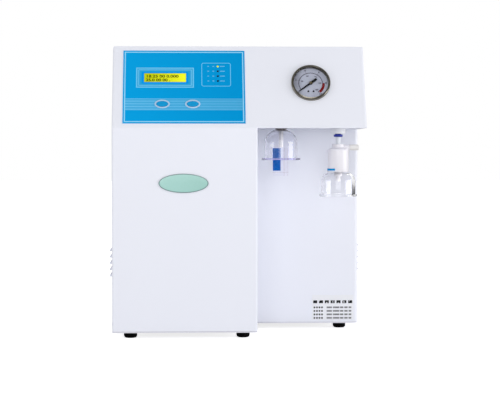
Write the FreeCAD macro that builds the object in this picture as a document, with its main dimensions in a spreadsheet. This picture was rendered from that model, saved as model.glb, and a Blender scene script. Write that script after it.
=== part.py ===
"""Bench-top ultrapure water system: a sheet-metal cabinet with a tall column, a recessed dispensing bay and a
slanted control fascia, with the hydraulics and electrics that it holds.

Millimetres, +Z up, the front faces -Y. The origin is the bottom centre of the whole machine's box.
"""
import FreeCAD, Part
import math
import os
import Sketcher

doc = FreeCAD.newDocument("UltrapureWaterSystem")
sheet = doc.addObject("Spreadsheet::Sheet", "Dims")
SIZES = []
PIECES = []


# ---------------------------------------------------------------- sizes that know their sheet expression

class Size:
    """A number together with the sheet expression that gives it."""

    def __init__(self, value, text):
        self.value = float(value)
        self.text = text

    def __add__(self, other):
        return Size(self.value + as_size(other).value, f"({self.text} + {as_size(other).text})")

    def __sub__(self, other):
        return Size(self.value - as_size(other).value, f"({self.text} - {as_size(other).text})")

    def __mul__(self, other):
        return Size(self.value * as_size(other).value, f"({self.text} * {as_size(other).text})")

    def __truediv__(self, other):
        return Size(self.value / as_size(other).value, f"({self.text} / {as_size(other).text})")

    def __radd__(self, other):
        return as_size(other) + self

    def __rsub__(self, other):
        return as_size(other) - self

    def __rmul__(self, other):
        return as_size(other) * self

    def __neg__(self):
        return Size(-self.value, f"(-{self.text})")


def as_size(value):
    return value if isinstance(value, Size) else Size(value, f"({float(value):g})")


def sine(angle):
    return Size(math.sin(math.radians(angle.value)), f"sin({angle.text})")


def cosine(angle):
    return Size(math.cos(math.radians(angle.value)), f"cos({angle.text})")


def driving(name, value):
    """A driving dimension: a named cell of the sheet."""
    SIZES.append(name)
    row = len(SIZES)
    sheet.set(f"A{row}", name)
    sheet.set(f"B{row}", f"{value}")
    sheet.setAlias(f"B{row}", name)
    return Size(value, f"Dims.{name}")


# ---------------------------------------------------------------- frames and primitives

def vector_text(x, y, z):
    x, y, z = (as_size(v).text for v in (x, y, z))
    return f"create(<<vector>>; {x}; {y}; {z})"


def place_text(origin, axis, angle):
    turn = f"create(<<rotation>>; {vector_text(*axis)}; {as_size(angle).text})"
    return f"create(<<placement>>; {vector_text(*origin)}; {turn})"


class Frame:
    """A local frame that sheet expressions place."""

    def __init__(self, origin=(0, 0, 0), axis=(0, 0, 1), angle=0, within=None):
        self.text = place_text(origin, axis, angle)
        if within is not None:
            self.text = f"{within.text} * {self.text}"


WORLD = Frame()
TURN_ALONG = {  # the rotation that takes local +Z to each direction
    "z": ((0, 0, 1), 0),
    "-z": ((1, 0, 0), 180),
    "x": ((0, 1, 0), 90),
    "-x": ((0, 1, 0), -90),
    "y": ((1, 0, 0), -90),
    "-y": ((1, 0, 0), 90),
}


def put(made, frame, origin, along="z"):
    axis, angle = TURN_ALONG[along]
    made.setExpression("Placement", f"{frame.text} * {place_text(origin, axis, angle)}")
    return made


def bind(made, **sizes):
    for name, size in sizes.items():
        setattr(made, name, as_size(size).value)
        made.setExpression(name, as_size(size).text)
    return made


def box(x, y, z, w, d, h, frame=WORLD):
    """A block with its lowest corner at x, y, z: w along X, d along Y, h along Z."""
    made = bind(doc.addObject("Part::Box", "Block"), Length=w, Width=d, Height=h)
    return put(made, frame, (x, y, z))


def rod(x, y, z, radius, length, along="z", frame=WORLD):
    made = bind(doc.addObject("Part::Cylinder", "Rod"), Radius=radius, Height=length)
    return put(made, frame, (x, y, z), along)


def oval(x, y, z, half_width, half_height, depth, frame):
    """An oval slab that faces the frame's -Y and reaches from y to y + depth."""
    curve = bind(doc.addObject("Part::Ellipse", "Oval"), MajorRadius=half_width, MinorRadius=half_height)
    put(curve, frame, (x, y + as_size(depth) * 0.5, z), "-y")
    slab = bind(doc.addObject("Part::Extrusion", "OvalSlab"), LengthFwd=depth)
    slab.Base = curve
    slab.DirMode = "Normal"
    slab.Symmetric = True
    slab.Solid = True
    return slab


def fuse(*shapes):
    made = doc.addObject("Part::MultiFuse", "Joined")
    made.Shapes = list(shapes)
    return made


def cut(base, *tools):
    made = doc.addObject("Part::Cut", "Cut")
    made.Base = base
    made.Tool = tools[0] if len(tools) == 1 else fuse(*tools)
    return made


def common(first, second):
    made = doc.addObject("Part::Common", "Shared")
    made.Base = first
    made.Tool = second
    return made


def group(*shapes):
    made = doc.addObject("Part::Compound", "Group")
    made.Links = list(shapes)
    return made


def piece(name, made):
    """Names a finished sub-part, which is written to parts/NAME.step."""
    made.Label = name
    PIECES.append(made)


def round_corner(before, corner, after, radius):
    """Where a rounding of this radius leaves the two lines through a corner, and its centre."""
    back_along = (before - corner).normalize()
    ahead = (after - corner).normalize()
    half = back_along.getAngle(ahead) / 2
    reach = radius / math.tan(half)
    centre = corner + (back_along + ahead).normalize() * (radius / math.sin(half))
    return corner + back_along * reach, corner + ahead * reach, centre


def draw_outline(sketch, corners):
    """A closed outline through corners (x, y) or (x, y, rounding), each bound to the sheet."""
    points = [FreeCAD.Vector(as_size(c[0]).value, as_size(c[1]).value, 0) for c in corners]
    count = len(points)
    starts, ends, centres = list(points), list(points), {}
    for i, corner in enumerate(corners):
        if len(corner) > 2:
            ends[i], starts[i], centres[i] = round_corner(
                points[i - 1], points[i], points[(i + 1) % count], as_size(corner[2]).value)
    for i in range(count):
        sketch.addGeometry(Part.LineSegment(starts[i], ends[(i + 1) % count]))
    for i, corner in enumerate(corners):
        line_in, line_out = (i - 1) % count, i
        if i in centres:
            at, point = add_rounding(sketch, corner, points[i], ends[i], starts[i], centres[i],
                                     line_in, line_out)
        else:
            sketch.addConstraint(Sketcher.Constraint("Coincident", line_in, 2, line_out, 1))
            at, point = line_out, 1
        for kind, size in (("DistanceX", as_size(corner[0])), ("DistanceY", as_size(corner[1]))):
            hold = sketch.addConstraint(Sketcher.Constraint(kind, -1, 1, at, point, size.value))
            sketch.setExpression(f"Constraints[{hold}]", size.text)


def add_rounding(sketch, corner, point, leave, join, centre, line_in, line_out):
    """The arc at a rounded corner, and the construction point that holds the corner itself."""
    radius = as_size(corner[2])
    turns_left = (point - leave).cross(join - point).z > 0
    first, last = (leave, join) if turns_left else (join, leave)
    circle = Part.Circle(centre, FreeCAD.Vector(0, 0, 1), radius.value)
    arc = sketch.addGeometry(Part.ArcOfCircle(circle, circle.parameter(first), circle.parameter(last)))
    arc_in, arc_out = (1, 2) if turns_left else (2, 1)
    sketch.addConstraint(Sketcher.Constraint("Tangent", line_in, 2, arc, arc_in))
    sketch.addConstraint(Sketcher.Constraint("Tangent", arc, arc_out, line_out, 1))
    hold = sketch.addConstraint(Sketcher.Constraint("Radius", arc, radius.value))
    sketch.setExpression(f"Constraints[{hold}]", radius.text)
    at = sketch.addGeometry(Part.Point(point), True)
    sketch.addConstraint(Sketcher.Constraint("PointOnObject", at, 1, line_in))
    sketch.addConstraint(Sketcher.Constraint("PointOnObject", at, 1, line_out))
    return at, 1


def sketched_body(corners, plane):
    body = doc.addObject("PartDesign::Body", "Body")
    sketch = body.newObject("Sketcher::SketchObject", "Sketch")
    sketch.AttachmentSupport = (next(f for f in body.Origin.OriginFeatures if f.Role == plane), [""])
    sketch.MapMode = "FlatFace"
    draw_outline(sketch, corners)
    return body, sketch


def extruded(corners, length, origin=(0, 0, 0), frame=WORLD):
    """An outline in the frame's XY plane, pulled along its +Z."""
    body, sketch = sketched_body(corners, "XY_Plane")
    pad = body.newObject("PartDesign::Pad", "Pad")
    pad.Profile = sketch
    bind(pad, Length=length)
    return put(body, frame, origin)


def turned(corners, origin, along="z", frame=WORLD):
    """A half section of (radius, height) turned about its own axis, which points along a direction."""
    body, sketch = sketched_body(corners, "XZ_Plane")
    turn = body.newObject("PartDesign::Revolution", "Turn")
    turn.Profile = sketch
    turn.ReferenceAxis = (sketch, ["V_Axis"])
    turn.Angle = 360
    return put(body, frame, origin, along)


def flat_feature(points, thickness, holes=()):
    """A toothed or tapered piece cut from sheet, lying in its own XY plane."""
    face = Part.Face(Part.makePolygon([*points, points[0]]))
    solid = face.extrude(FreeCAD.Vector(0, 0, thickness))
    for x, y, radius in holes:
        solid = solid.cut(Part.makeCylinder(radius, thickness * 3, FreeCAD.Vector(x, y, -thickness)))
    made = doc.addObject("Part::Feature", "FlatPiece")
    made.Shape = solid
    return made


def hose(radius, *stops):
    """A round tube or wire: straight runs joined by tangent arcs, each as large as its runs allow."""
    points = [FreeCAD.Vector(*(as_size(v).value for v in stop)) for stop in stops]
    edges, at = [], points[0]
    for before, corner, after in zip(points, points[1:], points[2:]):
        half_turn = (corner - before).getAngle(after - corner) / 2
        shorter = min((corner - before).Length, (after - corner).Length)
        reach = min(0.45 * shorter, hose_bend.value * math.tan(half_turn))
        leave = corner + (before - corner).normalize() * reach
        join = corner + (after - corner).normalize() * reach
        bisector = ((leave + join) * 0.5 - corner).normalize()
        bend_radius_here = reach / math.tan(half_turn)
        middle = corner + bisector * (bend_radius_here / math.cos(half_turn) - bend_radius_here)
        edges.append(Part.LineSegment(at, leave).toShape())
        edges.append(Part.Arc(leave, middle, join).toShape())
        at = join
    edges.append(Part.LineSegment(at, points[-1]).toShape())
    ring = Part.Wire(Part.makeCircle(radius.value, points[0], points[1] - points[0]))
    made = doc.addObject("Part::Feature", "Hose")
    made.Shape = Part.Wire(edges).makePipeShell([ring], True, False)
    return made


# ---------------------------------------------------------------- driving dimensions: cabinet

cabinet_width = 400
cabinet_depth = 400
column_width = 228
bay_depth = 140
bend_height = 321
fascia_length = 146
fascia_tilt = 26
sheet_gauge = 1.5
flange = 14
seam = 0.6
bend_radius = 3
bay_edge_radius = 5
tray_wall = 16
running_clearance = 0.05
slip_clearance = 0.2

foot_height = 10
foot_radius = 10.6
foot_base_radius = 9.4
foot_rounding = 2.6
foot_recess = 4
foot_inset = 28
foot_inner_inset = 22

screw_radius = 1.9
screw_hole_radius = 2.1
screw_head_radius = 3.8
screw_head = 2.2
screw_rounding = 1.3
screw_tip = 3
screw_rise = 9
screw_inset = 50
foot_screw_radius = 2
foot_screw_head_radius = 3.6
foot_screw_head = 2.2
foot_nut_radius = 3.8
foot_nut_height = 3

louvre_count = 5
louvre_reach = 5.5
louvre_length = 90
louvre_pitch = 10
louvre_rise = 86
louvre_inset = 34
louvre_skin = 1.1

badge_thickness = 1.6
badge_half_width = 39
badge_half_height = 15
badge_rise = 234.3
badge_from_left = 112
card_width = 68.5
card_height = 40.8
card_skin = 0.4
card_rise = 5.7
card_from_right = 6.7

# ---------------------------------------------------------------- driving dimensions: fascia

overlay_from_left = 16.7
overlay_width = 192.6
overlay_rise = 7.5
overlay_height = 130.1
overlay_skin = 0.6
display_from_left = 66.3
display_rise = 81.3
glass_width = 66.3
glass_height = 16
window_skin = 1
display_case_width = 71.2
display_case_height = 24.2
display_case_depth = 6
display_board_width = 80
display_board_height = 36
board_skin = 1.6
board_depth = 14
board_margin = 14
standoff_radius = 3
standoff_inset = 5

led_count = 4
led_from_left = 149.8
led_rise = 75.3
led_pitch = 8.8
led_radius = 1.5
led_rim = 0.4
led_stand = 0.4
led_length = 5.4

key_half_width = 9.1
key_half_height = 4.7
key_rim = 1.5
key_ring_band = 2.9
key_ring_stand = 0.9
key_stand = 1.2
key_travel = 0.7
key_rise = 34
key_from_left = 61.9
key_spacing = 48
key_stem_radius = 2
switch_side = 6
switch_height = 3.4
switch_button_radius = 1.7
switch_button = 1.1

# ---------------------------------------------------------------- driving dimensions: pressure gauge

gauge_from_right = 86.3
gauge_rise = 79
gauge_case_radius = 28.6
gauge_wall = 1
gauge_depth = 27
gauge_ring_radius = 31
gauge_ring_stand = 6.2
gauge_lip = 1.4
gauge_view_radius = 27.8
gauge_flange = 1.2
gauge_lens_skin = 1.5
dial_skin = 0.6
dial_sink = 1.1
pointer_stand = 1.4
pointer_skin = 0.6
pointer_reach = 23.5
pointer_tail = 12
pointer_tip_width = 0.9
pointer_tail_width = 3.4
pointer_hub_radius = 2.8
arbor_radius = 0.8
pointer_rest = 142
gear_module = 0.35
gear_face = 1.6
gear_stand = 6
sector_angle = 45
sector_hub_radius = 3
pinion_tooth_count = 10
sector_tooth_count = 80
sector_cut_count = 13
sector_spare_count = 3
movement_plate_radius = 22
movement_plate_skin = 1.2
movement_offset = 2.5
movement_front = 3
movement_back = 10
pillar_radius = 1.2
pillar_reach = 9
pillar_far_reach = 14.5
dial_screw_spacing = 8.2
dial_screw_drop = 14
socket_side = 14
stem_radius = 6
stem_length = 16
bourdon_radius = 22
bourdon_skin = 2.4
bourdon_width = 9
bourdon_foot = 6
bourdon_mouth = 9
clamp_width = 20
clamp_gap = 2

# ---------------------------------------------------------------- driving dimensions: outlets

tap_inset = 60
nozzle_from_wall = 40
filter_from_right = 40
lock_nut_radius = 9
lock_nut_height = 6
outer_nut_height = 1.8
nozzle_radius = 3.65
nozzle_bore_radius = 2
nozzle_thread_radius = 4
nozzle_collar_radius = 5
nozzle_collar = 1.5
nozzle_drop = 30
bell_wall = 1.6
bell_flange = 3.3
nozzle_bell_radius = 26
nozzle_bell_flange_radius = 31
nozzle_bell_height = 48.7
nozzle_bell_shoulder = 21
filter_bell_radius = 27.5
filter_bell_flange_radius = 29.8
filter_bell_height = 38.5
filter_bell_shoulder = 14.5
film_skin = 0.4
film_left = 14.1
film_right = 10.7
film_height = 44.5
film_drop = 25
tag_skin = 0.4
tag_right = 0.3
tag_height = 37.5
tag_drop = 18.6

fitting_radius = 11.75
fitting_head = 8.4
fitting_stem_radius = 7
fitting_stem = 22
fitting_waterway_radius = 2.2
collet_radius = 7.25
collet_head = 3.8
collet_sleeve_radius = 5.2
collet_sleeve = 4.6
collet_travel = 1.2
outlet_tube_radius = 4
outlet_tube_bore_radius = 2.6
outlet_tube_seat = 4

capsule_drop = 25
capsule_radius = 17
capsule_height = 45
capsule_wall = 1.6
capsule_neck_radius = 9.5
capsule_neck = 5
capsule_shoulder = 4
capsule_socket = 6
capsule_foot_rounding = 1
capsule_floor_rounding = 2.4
nipple_radius = 6.5
nipple_length = 6
barb_radius = 3.5
barb_length = 9
barb_bore_radius = 2
membrane_gap = 1.2
membrane_core_radius = 4
vent_radius = 4.75
vent_drop = 5.3
vent_cap_length = 14.7
vent_spigot_radius = 2.8
vent_spigot = 8
vent_cap_gap = 0.3
vent_reach = 18
label_skin = 0.4
label_height = 4.6
label_rise = 0.3
label_inset = 4.25

# ---------------------------------------------------------------- driving dimensions: inside

hose_radius = 3.175
hose_bend = 22
wire_radius = 2.5
socket_radius = 6.5
socket_length = 15
socket_bore = 11
hose_clearance = 0.05

rear_reach = 14
port_collar_radius = 9
port_stem_radius = 7.5
port_nut_height = 5
port_stem_in = 20
port_rise = 30

vessel_radius = 32
vessel_wall = 2.5
vessel_length = 300
vessel_rise = 85
vessel_cap_radius = 36
vessel_cap = 22
vessel_stub = 14
vessel_stub_radius = 7.5
vessel_way_radius = 2.6
vessel_from_wall = 38.5
charge_gap = 0.3
clip_height = 16
clip_skin = 2.2
clip_base_width = 30
clip_mouth = 44
membrane_from_left = 50
prefilter_from_left = 134
polisher_from_right = 48
polisher_pitch = 80
membrane_port_offset = 15

pump_from_left = 90
pump_from_front = 60
pump_axis_rise = 60
motor_radius = 35
motor_length = 90
motor_wall = 3
motor_shaft_radius = 4
rotor_radius = 28
rotor_end_gap = 12
shaft_stand = 14
pump_head_radius = 42
pump_head_length = 46
pump_chamber_radius = 9
pump_chamber = 18
pump_port_offset = 18
cradle_skin = 3
cradle_width = 88
cradle_saddle = 8

valve_body_side = 26
valve_coil_side = 30
valve_coil_height = 34
valve_back_gap = 92
plunger_radius = 5
plunger_length = 20
plunger_travel = 2.5

supply_width = 110
supply_depth = 70
supply_height = 45
supply_from_right = 40
supply_from_back = 70

inlet_from_right = 60
inlet_rise = 60
inlet_flange_width = 32
inlet_flange_height = 60
inlet_flange = 2.5
inlet_body_width = 28
inlet_body_height = 54
inlet_body_depth = 30
inlet_socket_width = 24.2
inlet_socket_height = 16.6
inlet_socket_depth = 17
inlet_socket_drop = 14
pin_width = 2
pin_height = 4
pin_length = 14
pin_spread = 7
rocker_rise = 12
rocker_width = 14
rocker_height = 20
rocker_depth = 9
rocker_gap = 1
rocker_pin_radius = 1.5
rocker_tilt = 8
rocker_stand = 1.5

# ---------------------------------------------------------------- the sheet takes every size above

COUNTS = ("louvre_count", "led_count", "pinion_tooth_count", "sector_tooth_count", "sector_cut_count",
          "sector_spare_count")
for name, value in list(globals().items()):
    if isinstance(value, (int, float)) and name not in COUNTS:
        globals()[name] = driving(name, value)


# ---------------------------------------------------------------- places that follow from the sizes

left = -cabinet_width * 0.5
right = cabinet_width * 0.5
column_edge = left + column_width
front = (badge_thickness - rear_reach - cabinet_depth) * 0.5
back = front + cabinet_depth
bay_back = front + bay_depth
bottom = foot_height
tray_floor = bottom + sheet_gauge
cover_low = tray_floor + seam
bend = bottom + bend_height
fascia_run = fascia_length * sine(fascia_tilt)
top = bend + fascia_length * cosine(fascia_tilt)
lid_line = top - flange - seam
lid_front = front + fascia_run
inner_bend = bend_radius - sheet_gauge
flange_end = flange + seam

FASCIA = Frame((0, front, bend), (1, 0, 0), -fascia_tilt)   # X right, Y into the cabinet, Z up the slope
BELOW_FASCIA = Frame((0, 0, -flange), within=FASCIA)
MITRE = Frame((0, front, bend), (1, 0, 0), -fascia_tilt * 0.5)  # halves the angle between column and fascia
FRONT = Frame((0, front, cover_low))                        # X right, Y into the cabinet, Z up
REAR = Frame((0, back, cover_low), (0, 0, 1), 180)          # X left, Y into the cabinet, Z up
SIDE = Frame((0, front, 0), (1, 1, 1), 120)                 # X into the cabinet, Y up, Z right
LID = Frame((0, back, top - flange), (1, 0, 0), 90)         # X right, Y up, Z forwards
OVERLAY = Frame((left + overlay_from_left, 0, overlay_rise), within=FASCIA)
gauge_x = right - gauge_from_right
GAUGE = Frame((gauge_x, 0, gauge_rise), within=FASCIA)

screw_z = bottom + screw_rise
lid_screw_z = top - flange * 0.5
left_screws = [front + screw_inset, (front + back) * 0.5, back - screw_inset]
right_screws = [bay_back + screw_inset, back - screw_inset]
rear_screws = [left + screw_inset * 0.5, right - screw_inset * 0.5]
lid_screws = [left + screw_inset, (left + right) * 0.5, right - screw_inset]
foot_places = [
    (left + foot_inset, front + foot_inset),
    (column_edge - foot_inner_inset, front + foot_inset),
    (right - foot_inset, bay_back + foot_inset),
    (left + foot_inset, back - foot_inset),
    (right - foot_inset, back - foot_inset),
]

tap_y = front + tap_inset
nozzle_x = column_edge + nozzle_from_wall
filter_x = right - filter_from_right
capsule_top = bend - capsule_drop
capsule_bottom = capsule_top - capsule_height

membrane_x = left + membrane_from_left
prefilter_x = left + prefilter_from_left
rear_vessel_y = back - sheet_gauge - vessel_from_wall
polisher_y = bay_back + sheet_gauge + vessel_from_wall
polisher_places = [right - polisher_from_right - polisher_pitch * (1 - i) for i in range(2)]
vessel_low = bottom + vessel_rise
vessel_high = vessel_low + vessel_length
port_z = bottom + port_rise
port_places = [membrane_x, (membrane_x + prefilter_x) * 0.5, prefilter_x]
inlet_x = right - inlet_from_right
inlet_z = bottom + inlet_rise


def behind_fascia(x, up, depth):
    """World place of a point that lies so far up the slope and so deep behind it."""
    return (x, front + up * sine(fascia_tilt) + depth * cosine(fascia_tilt),
            bend + up * cosine(fascia_tilt) - depth * sine(fascia_tilt))


# ---------------------------------------------------------------- cabinet

def channel(x_from, x_to, length, frame):
    """A bent sheet: a face from x_from to x_to with a flange at each side, pulled up the frame's Z."""
    t = sheet_gauge
    return extruded([
        (x_from, flange), (x_from, 0, bend_radius), (x_to, 0, bend_radius), (x_to, flange),
        (x_to - t, flange), (x_to - t, t, inner_bend), (x_from + t, t, inner_bend), (x_from + t, flange),
    ], length, frame=frame)


def led_places():
    return [led_rise + led_pitch * i for i in range(led_count)]


def key_places():
    return [key_from_left + key_spacing * i for i in range(2)]


def front_cover():
    """The column's front and the slanted fascia, bent from one sheet, with the control board's weld studs."""
    t = sheet_gauge
    board_width, board_height = overlay_width - board_margin * 2, overlay_height - board_margin * 2
    studs = [rod(board_margin + x, t, board_margin + z, standoff_radius, board_depth - t, "y", OVERLAY)
             for x in (standoff_inset, board_width - standoff_inset)
             for z in (standoff_inset, board_height - standoff_inset)]
    span, deep = cabinet_width + flange * 2, flange * 4
    column = cut(channel(left, column_edge, bend + flange - cover_low, FRONT),
                 box(left - flange, -flange, 0, span, deep, deep, MITRE))
    slope = cut(channel(left, right, fascia_length + flange, BELOW_FASCIA),
                box(left - flange, -flange, -deep, span, deep, deep, MITRE))
    lip = box(column_edge - t, front, bend, cabinet_width - column_width, flange, t)
    skin = fuse(column, slope, lip, *studs)
    below_head = box(column_edge, front - flange, bend - flange,
                     column_width + cabinet_width, flange * 3, flange)
    behind_edge = box(left - flange, lid_front, lid_line, cabinet_width + flange * 2, flange * 2, flange * 2)
    gap = slip_clearance
    openings = [
        box(display_from_left - display_case_width * 0.5 - gap, -flange,
            display_rise - display_case_height * 0.5 - gap,
            display_case_width + gap * 2, flange * 2, display_case_height + gap * 2, OVERLAY),
        rod(gauge_x, -flange, gauge_rise, gauge_case_radius + gap, flange * 2, "y", FASCIA),
    ]
    openings += [rod(led_from_left, -flange, z, led_radius + gap, flange * 2, "y", OVERLAY)
                 for z in led_places()]
    openings += [oval(x, -flange, key_rise, key_half_width + gap, key_half_height + gap, flange * 2, OVERLAY)
                 for x in key_places()]
    piece("front_cover", cut(skin, below_head, behind_edge, *openings))


def louvre_row(x_face, y_from, outward):
    """Louvre hoods pressed out of a side panel, and the slots behind them. outward is 1 or -1."""
    hoods, slots = [], []
    reach = louvre_reach * 2
    for i in range(louvre_count):
        z = bottom + louvre_rise + louvre_pitch * i
        outer = rod(x_face, y_from, z, louvre_reach, louvre_length, "y")
        inner = rod(x_face, y_from + louvre_skin, z, louvre_reach - louvre_skin,
                    louvre_length - louvre_skin * 2, "y")
        keep = box(x_face if outward > 0 else x_face - reach, y_from - reach, z,
                   reach, louvre_length + reach * 2, reach)
        hoods.append(common(cut(outer, inner), keep))
        slots.append(box(x_face - sheet_gauge * 2, y_from + louvre_skin, z,
                         sheet_gauge * 4, louvre_length - louvre_skin * 2, louvre_reach - louvre_skin * 2))
    return hoods, slots


def side_holes(x_face, y_places):
    return [rod(x_face - sheet_gauge * 2, y, screw_z, screw_hole_radius, sheet_gauge * 4, "x")
            for y in y_places]


def rear_holes(x_places, z):
    return [rod(x, back - sheet_gauge * 3, z, screw_hole_radius, sheet_gauge * 4, "y")
            for x in x_places]


def side_panels():
    """The left side, and the right side that bridges the bay; the front edges follow the fascia."""
    rear_edge = cabinet_depth - flange_end
    slope_top = ((lid_line - bend) * sine(fascia_tilt) + flange_end) / cosine(fascia_tilt)
    slope_foot = bend - flange_end * sine(fascia_tilt) / (1 + cosine(fascia_tilt))
    outline = [(flange_end, cover_low), (rear_edge, cover_low), (rear_edge, lid_line), (slope_top, lid_line),
               (flange_end, slope_foot)]
    plate = extruded(outline, sheet_gauge, (0, 0, left), SIDE)
    hoods, slots = louvre_row(left, front + louvre_inset, -1)
    piece("left_side_panel", cut(fuse(plate, *hoods), *slots, *side_holes(left, left_screws)))

    bay_corner = bay_depth + flange_end
    outline = [(bay_corner, cover_low), (rear_edge, cover_low), (rear_edge, lid_line), (slope_top, lid_line),
               (flange_end / cosine(fascia_tilt), bend), (bay_corner, bend)]
    plate = extruded(outline, sheet_gauge, (0, 0, right - sheet_gauge), SIDE)
    hoods, slots = louvre_row(right, bay_back + louvre_inset, 1)
    piece("right_side_panel", cut(fuse(plate, *hoods), *slots, *side_holes(right, right_screws)))


def top_cover():
    """The lid: a flat top with skirts at both sides and at the rear."""
    t = sheet_gauge
    section = [(left, 0), (left + t, 0), (left + t, flange - t, inner_bend),
               (right - t, flange - t, inner_bend), (right - t, 0), (right, 0),
               (right, flange, bend_radius), (left, flange, bend_radius)]
    shell = extruded(section, cabinet_depth - fascia_run, frame=LID)
    skirt = box(left + t, back - t, top - flange, cabinet_width - t * 2, t, flange - t)
    piece("top_cover", cut(fuse(shell, skirt), *rear_holes(lid_screws, lid_screw_z)))


def rear_panel():
    """The back, with a fastening strip behind the lid's skirt."""
    t, gap = sheet_gauge, slip_clearance
    height = lid_line - cover_low
    strip_width = cabinet_width - flange * 4
    strip = box(-strip_width * 0.5, t, height - flange, strip_width, t, flange * 2 - t + seam, REAR)
    ports = [rod(x, back - t * 3, port_z, port_stem_radius + gap, t * 6, "y") for x in port_places]
    inlet = box(inlet_x - inlet_body_width * 0.5 - gap, back - t * 3, inlet_z - inlet_body_height * 0.5 - gap,
                inlet_body_width + gap * 2, t * 6, inlet_body_height + gap * 2)
    piece("rear_panel", cut(fuse(channel(left, right, height, REAR), strip), inlet, *ports,
                            *rear_holes(rear_screws, screw_z), *rear_holes(lid_screws, lid_screw_z)))


def floor_plan(inset, rounding):
    """The L-shaped floor plan, taken in from the cabinet's outside."""
    return [(left + inset, front + inset, rounding), (column_edge - inset, front + inset, rounding),
            (column_edge - inset, bay_back + inset), (right - inset, bay_back + inset, bay_edge_radius),
            (right - inset, back - inset, rounding), (left + inset, back - inset, rounding)]


def base_tray():
    """The floor, whose lip shows below the covers, with a wall all round inside them."""
    t = sheet_gauge
    floor = extruded(floor_plan(0, bend_radius), t, (0, 0, bottom))
    wall = cut(extruded(floor_plan(t, bend_radius), tray_wall, (0, 0, bottom)),
               extruded(floor_plan(t * 2, bend_radius), tray_wall, (0, 0, tray_floor)))
    holes = [rod(x, y, bottom - t, foot_screw_radius + slip_clearance, t * 3) for x, y in foot_places]
    piece("base_tray", cut(fuse(floor, wall), *holes, *side_holes(left, left_screws),
                           *side_holes(right - t, right_screws), *rear_holes(rear_screws, screw_z)))


def bay_panels():
    t = sheet_gauge
    piece("bay_side_wall", box(column_edge - t, front + flange_end, cover_low,
                               t, bay_depth - flange_end + t, bend - cover_low))
    section = [(column_edge, bay_depth), (right, bay_depth, bay_edge_radius), (right, bay_depth + flange),
               (right - t, bay_depth + flange), (right - t, bay_depth + t, bay_edge_radius - t),
               (column_edge, bay_depth + t)]
    piece("bay_back_panel", extruded(section, bend - cover_low, frame=FRONT))
    floor = box(column_edge - t, front + flange_end, bend,
                cabinet_width - column_width, bay_depth - flange_end + t, t)
    holes = [rod(nozzle_x, tap_y, bend - t, nozzle_thread_radius + slip_clearance, t * 3),
             rod(filter_x, tap_y, bend - t, fitting_stem_radius + slip_clearance, t * 3)]
    piece("head_floor", cut(floor, *holes))


def feet():
    """Tapered rubber feet, each with a recess for the head of its screw."""
    bore, recess = foot_screw_radius + slip_clearance, foot_screw_head_radius + slip_clearance
    piece("rubber_feet", group(*[turned([
        (bore, foot_recess), (recess, foot_recess), (recess, 0), (foot_base_radius, 0, foot_rounding),
        (foot_radius, foot_height), (bore, foot_height),
    ], (x, y, 0)) for x, y in foot_places]))


def foot_screw(x, y):
    """A screw that comes up through its foot and the tray, with its nut on the tray."""
    nut_top = tray_floor + foot_nut_height
    return turned([
        (0, foot_recess - foot_screw_head), (foot_screw_head_radius, foot_recess - foot_screw_head),
        (foot_screw_head_radius, foot_recess), (foot_screw_radius, foot_recess),
        (foot_screw_radius, tray_floor), (foot_nut_radius, tray_floor), (foot_nut_radius, nut_top),
        (foot_screw_radius, nut_top), (foot_screw_radius, nut_top + 1), (0, nut_top + 1),
    ], (x, y, 0))


def cover_screw(origin, outward):
    """A pan-head screw whose head stands on the panel at its origin."""
    reach = sheet_gauge * 2 + screw_tip
    return turned([(0, -reach), (screw_radius, -reach), (screw_radius, 0), (screw_head_radius, 0),
                   (screw_head_radius, screw_head, screw_rounding), (0, screw_head)], origin, outward)


def case_screws():
    """All screws that hold the case together: five in the feet, the others in the covers."""
    screws = [foot_screw(x, y) for x, y in foot_places]
    screws += [cover_screw((x, back, screw_z), "y") for x in rear_screws]
    screws += [cover_screw((x, back, lid_screw_z), "y") for x in lid_screws]
    screws += [cover_screw((left, y, screw_z), "-x") for y in left_screws]
    screws += [cover_screw((right, y, screw_z), "x") for y in right_screws]
    piece("case_screws", group(*screws))


def badge_and_card():
    """A blank oval badge on the column, and a blank card on the bay's back wall."""
    piece("oval_badge", oval(left + badge_from_left, front - badge_thickness, bottom + badge_rise,
                             badge_half_width, badge_half_height, badge_thickness, WORLD))
    piece("service_card", box(right - card_from_right - card_width, bay_back - card_skin, bottom + card_rise,
                              card_width, card_skin, card_height))


# ---------------------------------------------------------------- fascia

def fascia_pieces():
    gap = slip_clearance
    film = box(0, -overlay_skin, 0, overlay_width, overlay_skin, overlay_height, OVERLAY)
    openings = [box(display_from_left - glass_width * 0.5, -flange, display_rise - glass_height * 0.5,
                    glass_width, flange * 2, glass_height, OVERLAY)]
    openings += [rod(led_from_left, -flange, z, led_radius + gap, flange * 2, "y", OVERLAY)
                 for z in led_places()]
    openings += [oval(x, -flange, key_rise, key_half_width + gap, key_half_height + gap, flange * 2, OVERLAY)
                 for x in key_places()]
    piece("keypad_overlay", cut(film, *openings))
    piece("display_window", box(display_from_left - display_case_width * 0.5, 0,
                                display_rise - display_case_height * 0.5,
                                display_case_width, window_skin, display_case_height, OVERLAY))
    display_module()
    indicator_leds()
    keys()
    control_board()


def display_module():
    """The character display behind its window: a case with its glass, a board and its pins."""
    case = box(display_from_left - display_case_width * 0.5, window_skin,
               display_rise - display_case_height * 0.5,
               display_case_width, display_case_depth, display_case_height, OVERLAY)
    board_front = window_skin + display_case_depth
    board = box(display_from_left - display_board_width * 0.5, board_front,
                display_rise - display_board_height * 0.5,
                display_board_width, board_skin, display_board_height, OVERLAY)
    pins_from = board_front + board_skin
    pin_row = (display_board_width * 0.5, display_board_height * 0.07)
    pins = box(display_from_left - display_board_width * 0.45, pins_from,
               display_rise + display_board_height * 0.4, pin_row[0], board_depth - pins_from, pin_row[1],
               OVERLAY)
    piece("display_module", fuse(case, board, pins))


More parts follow.
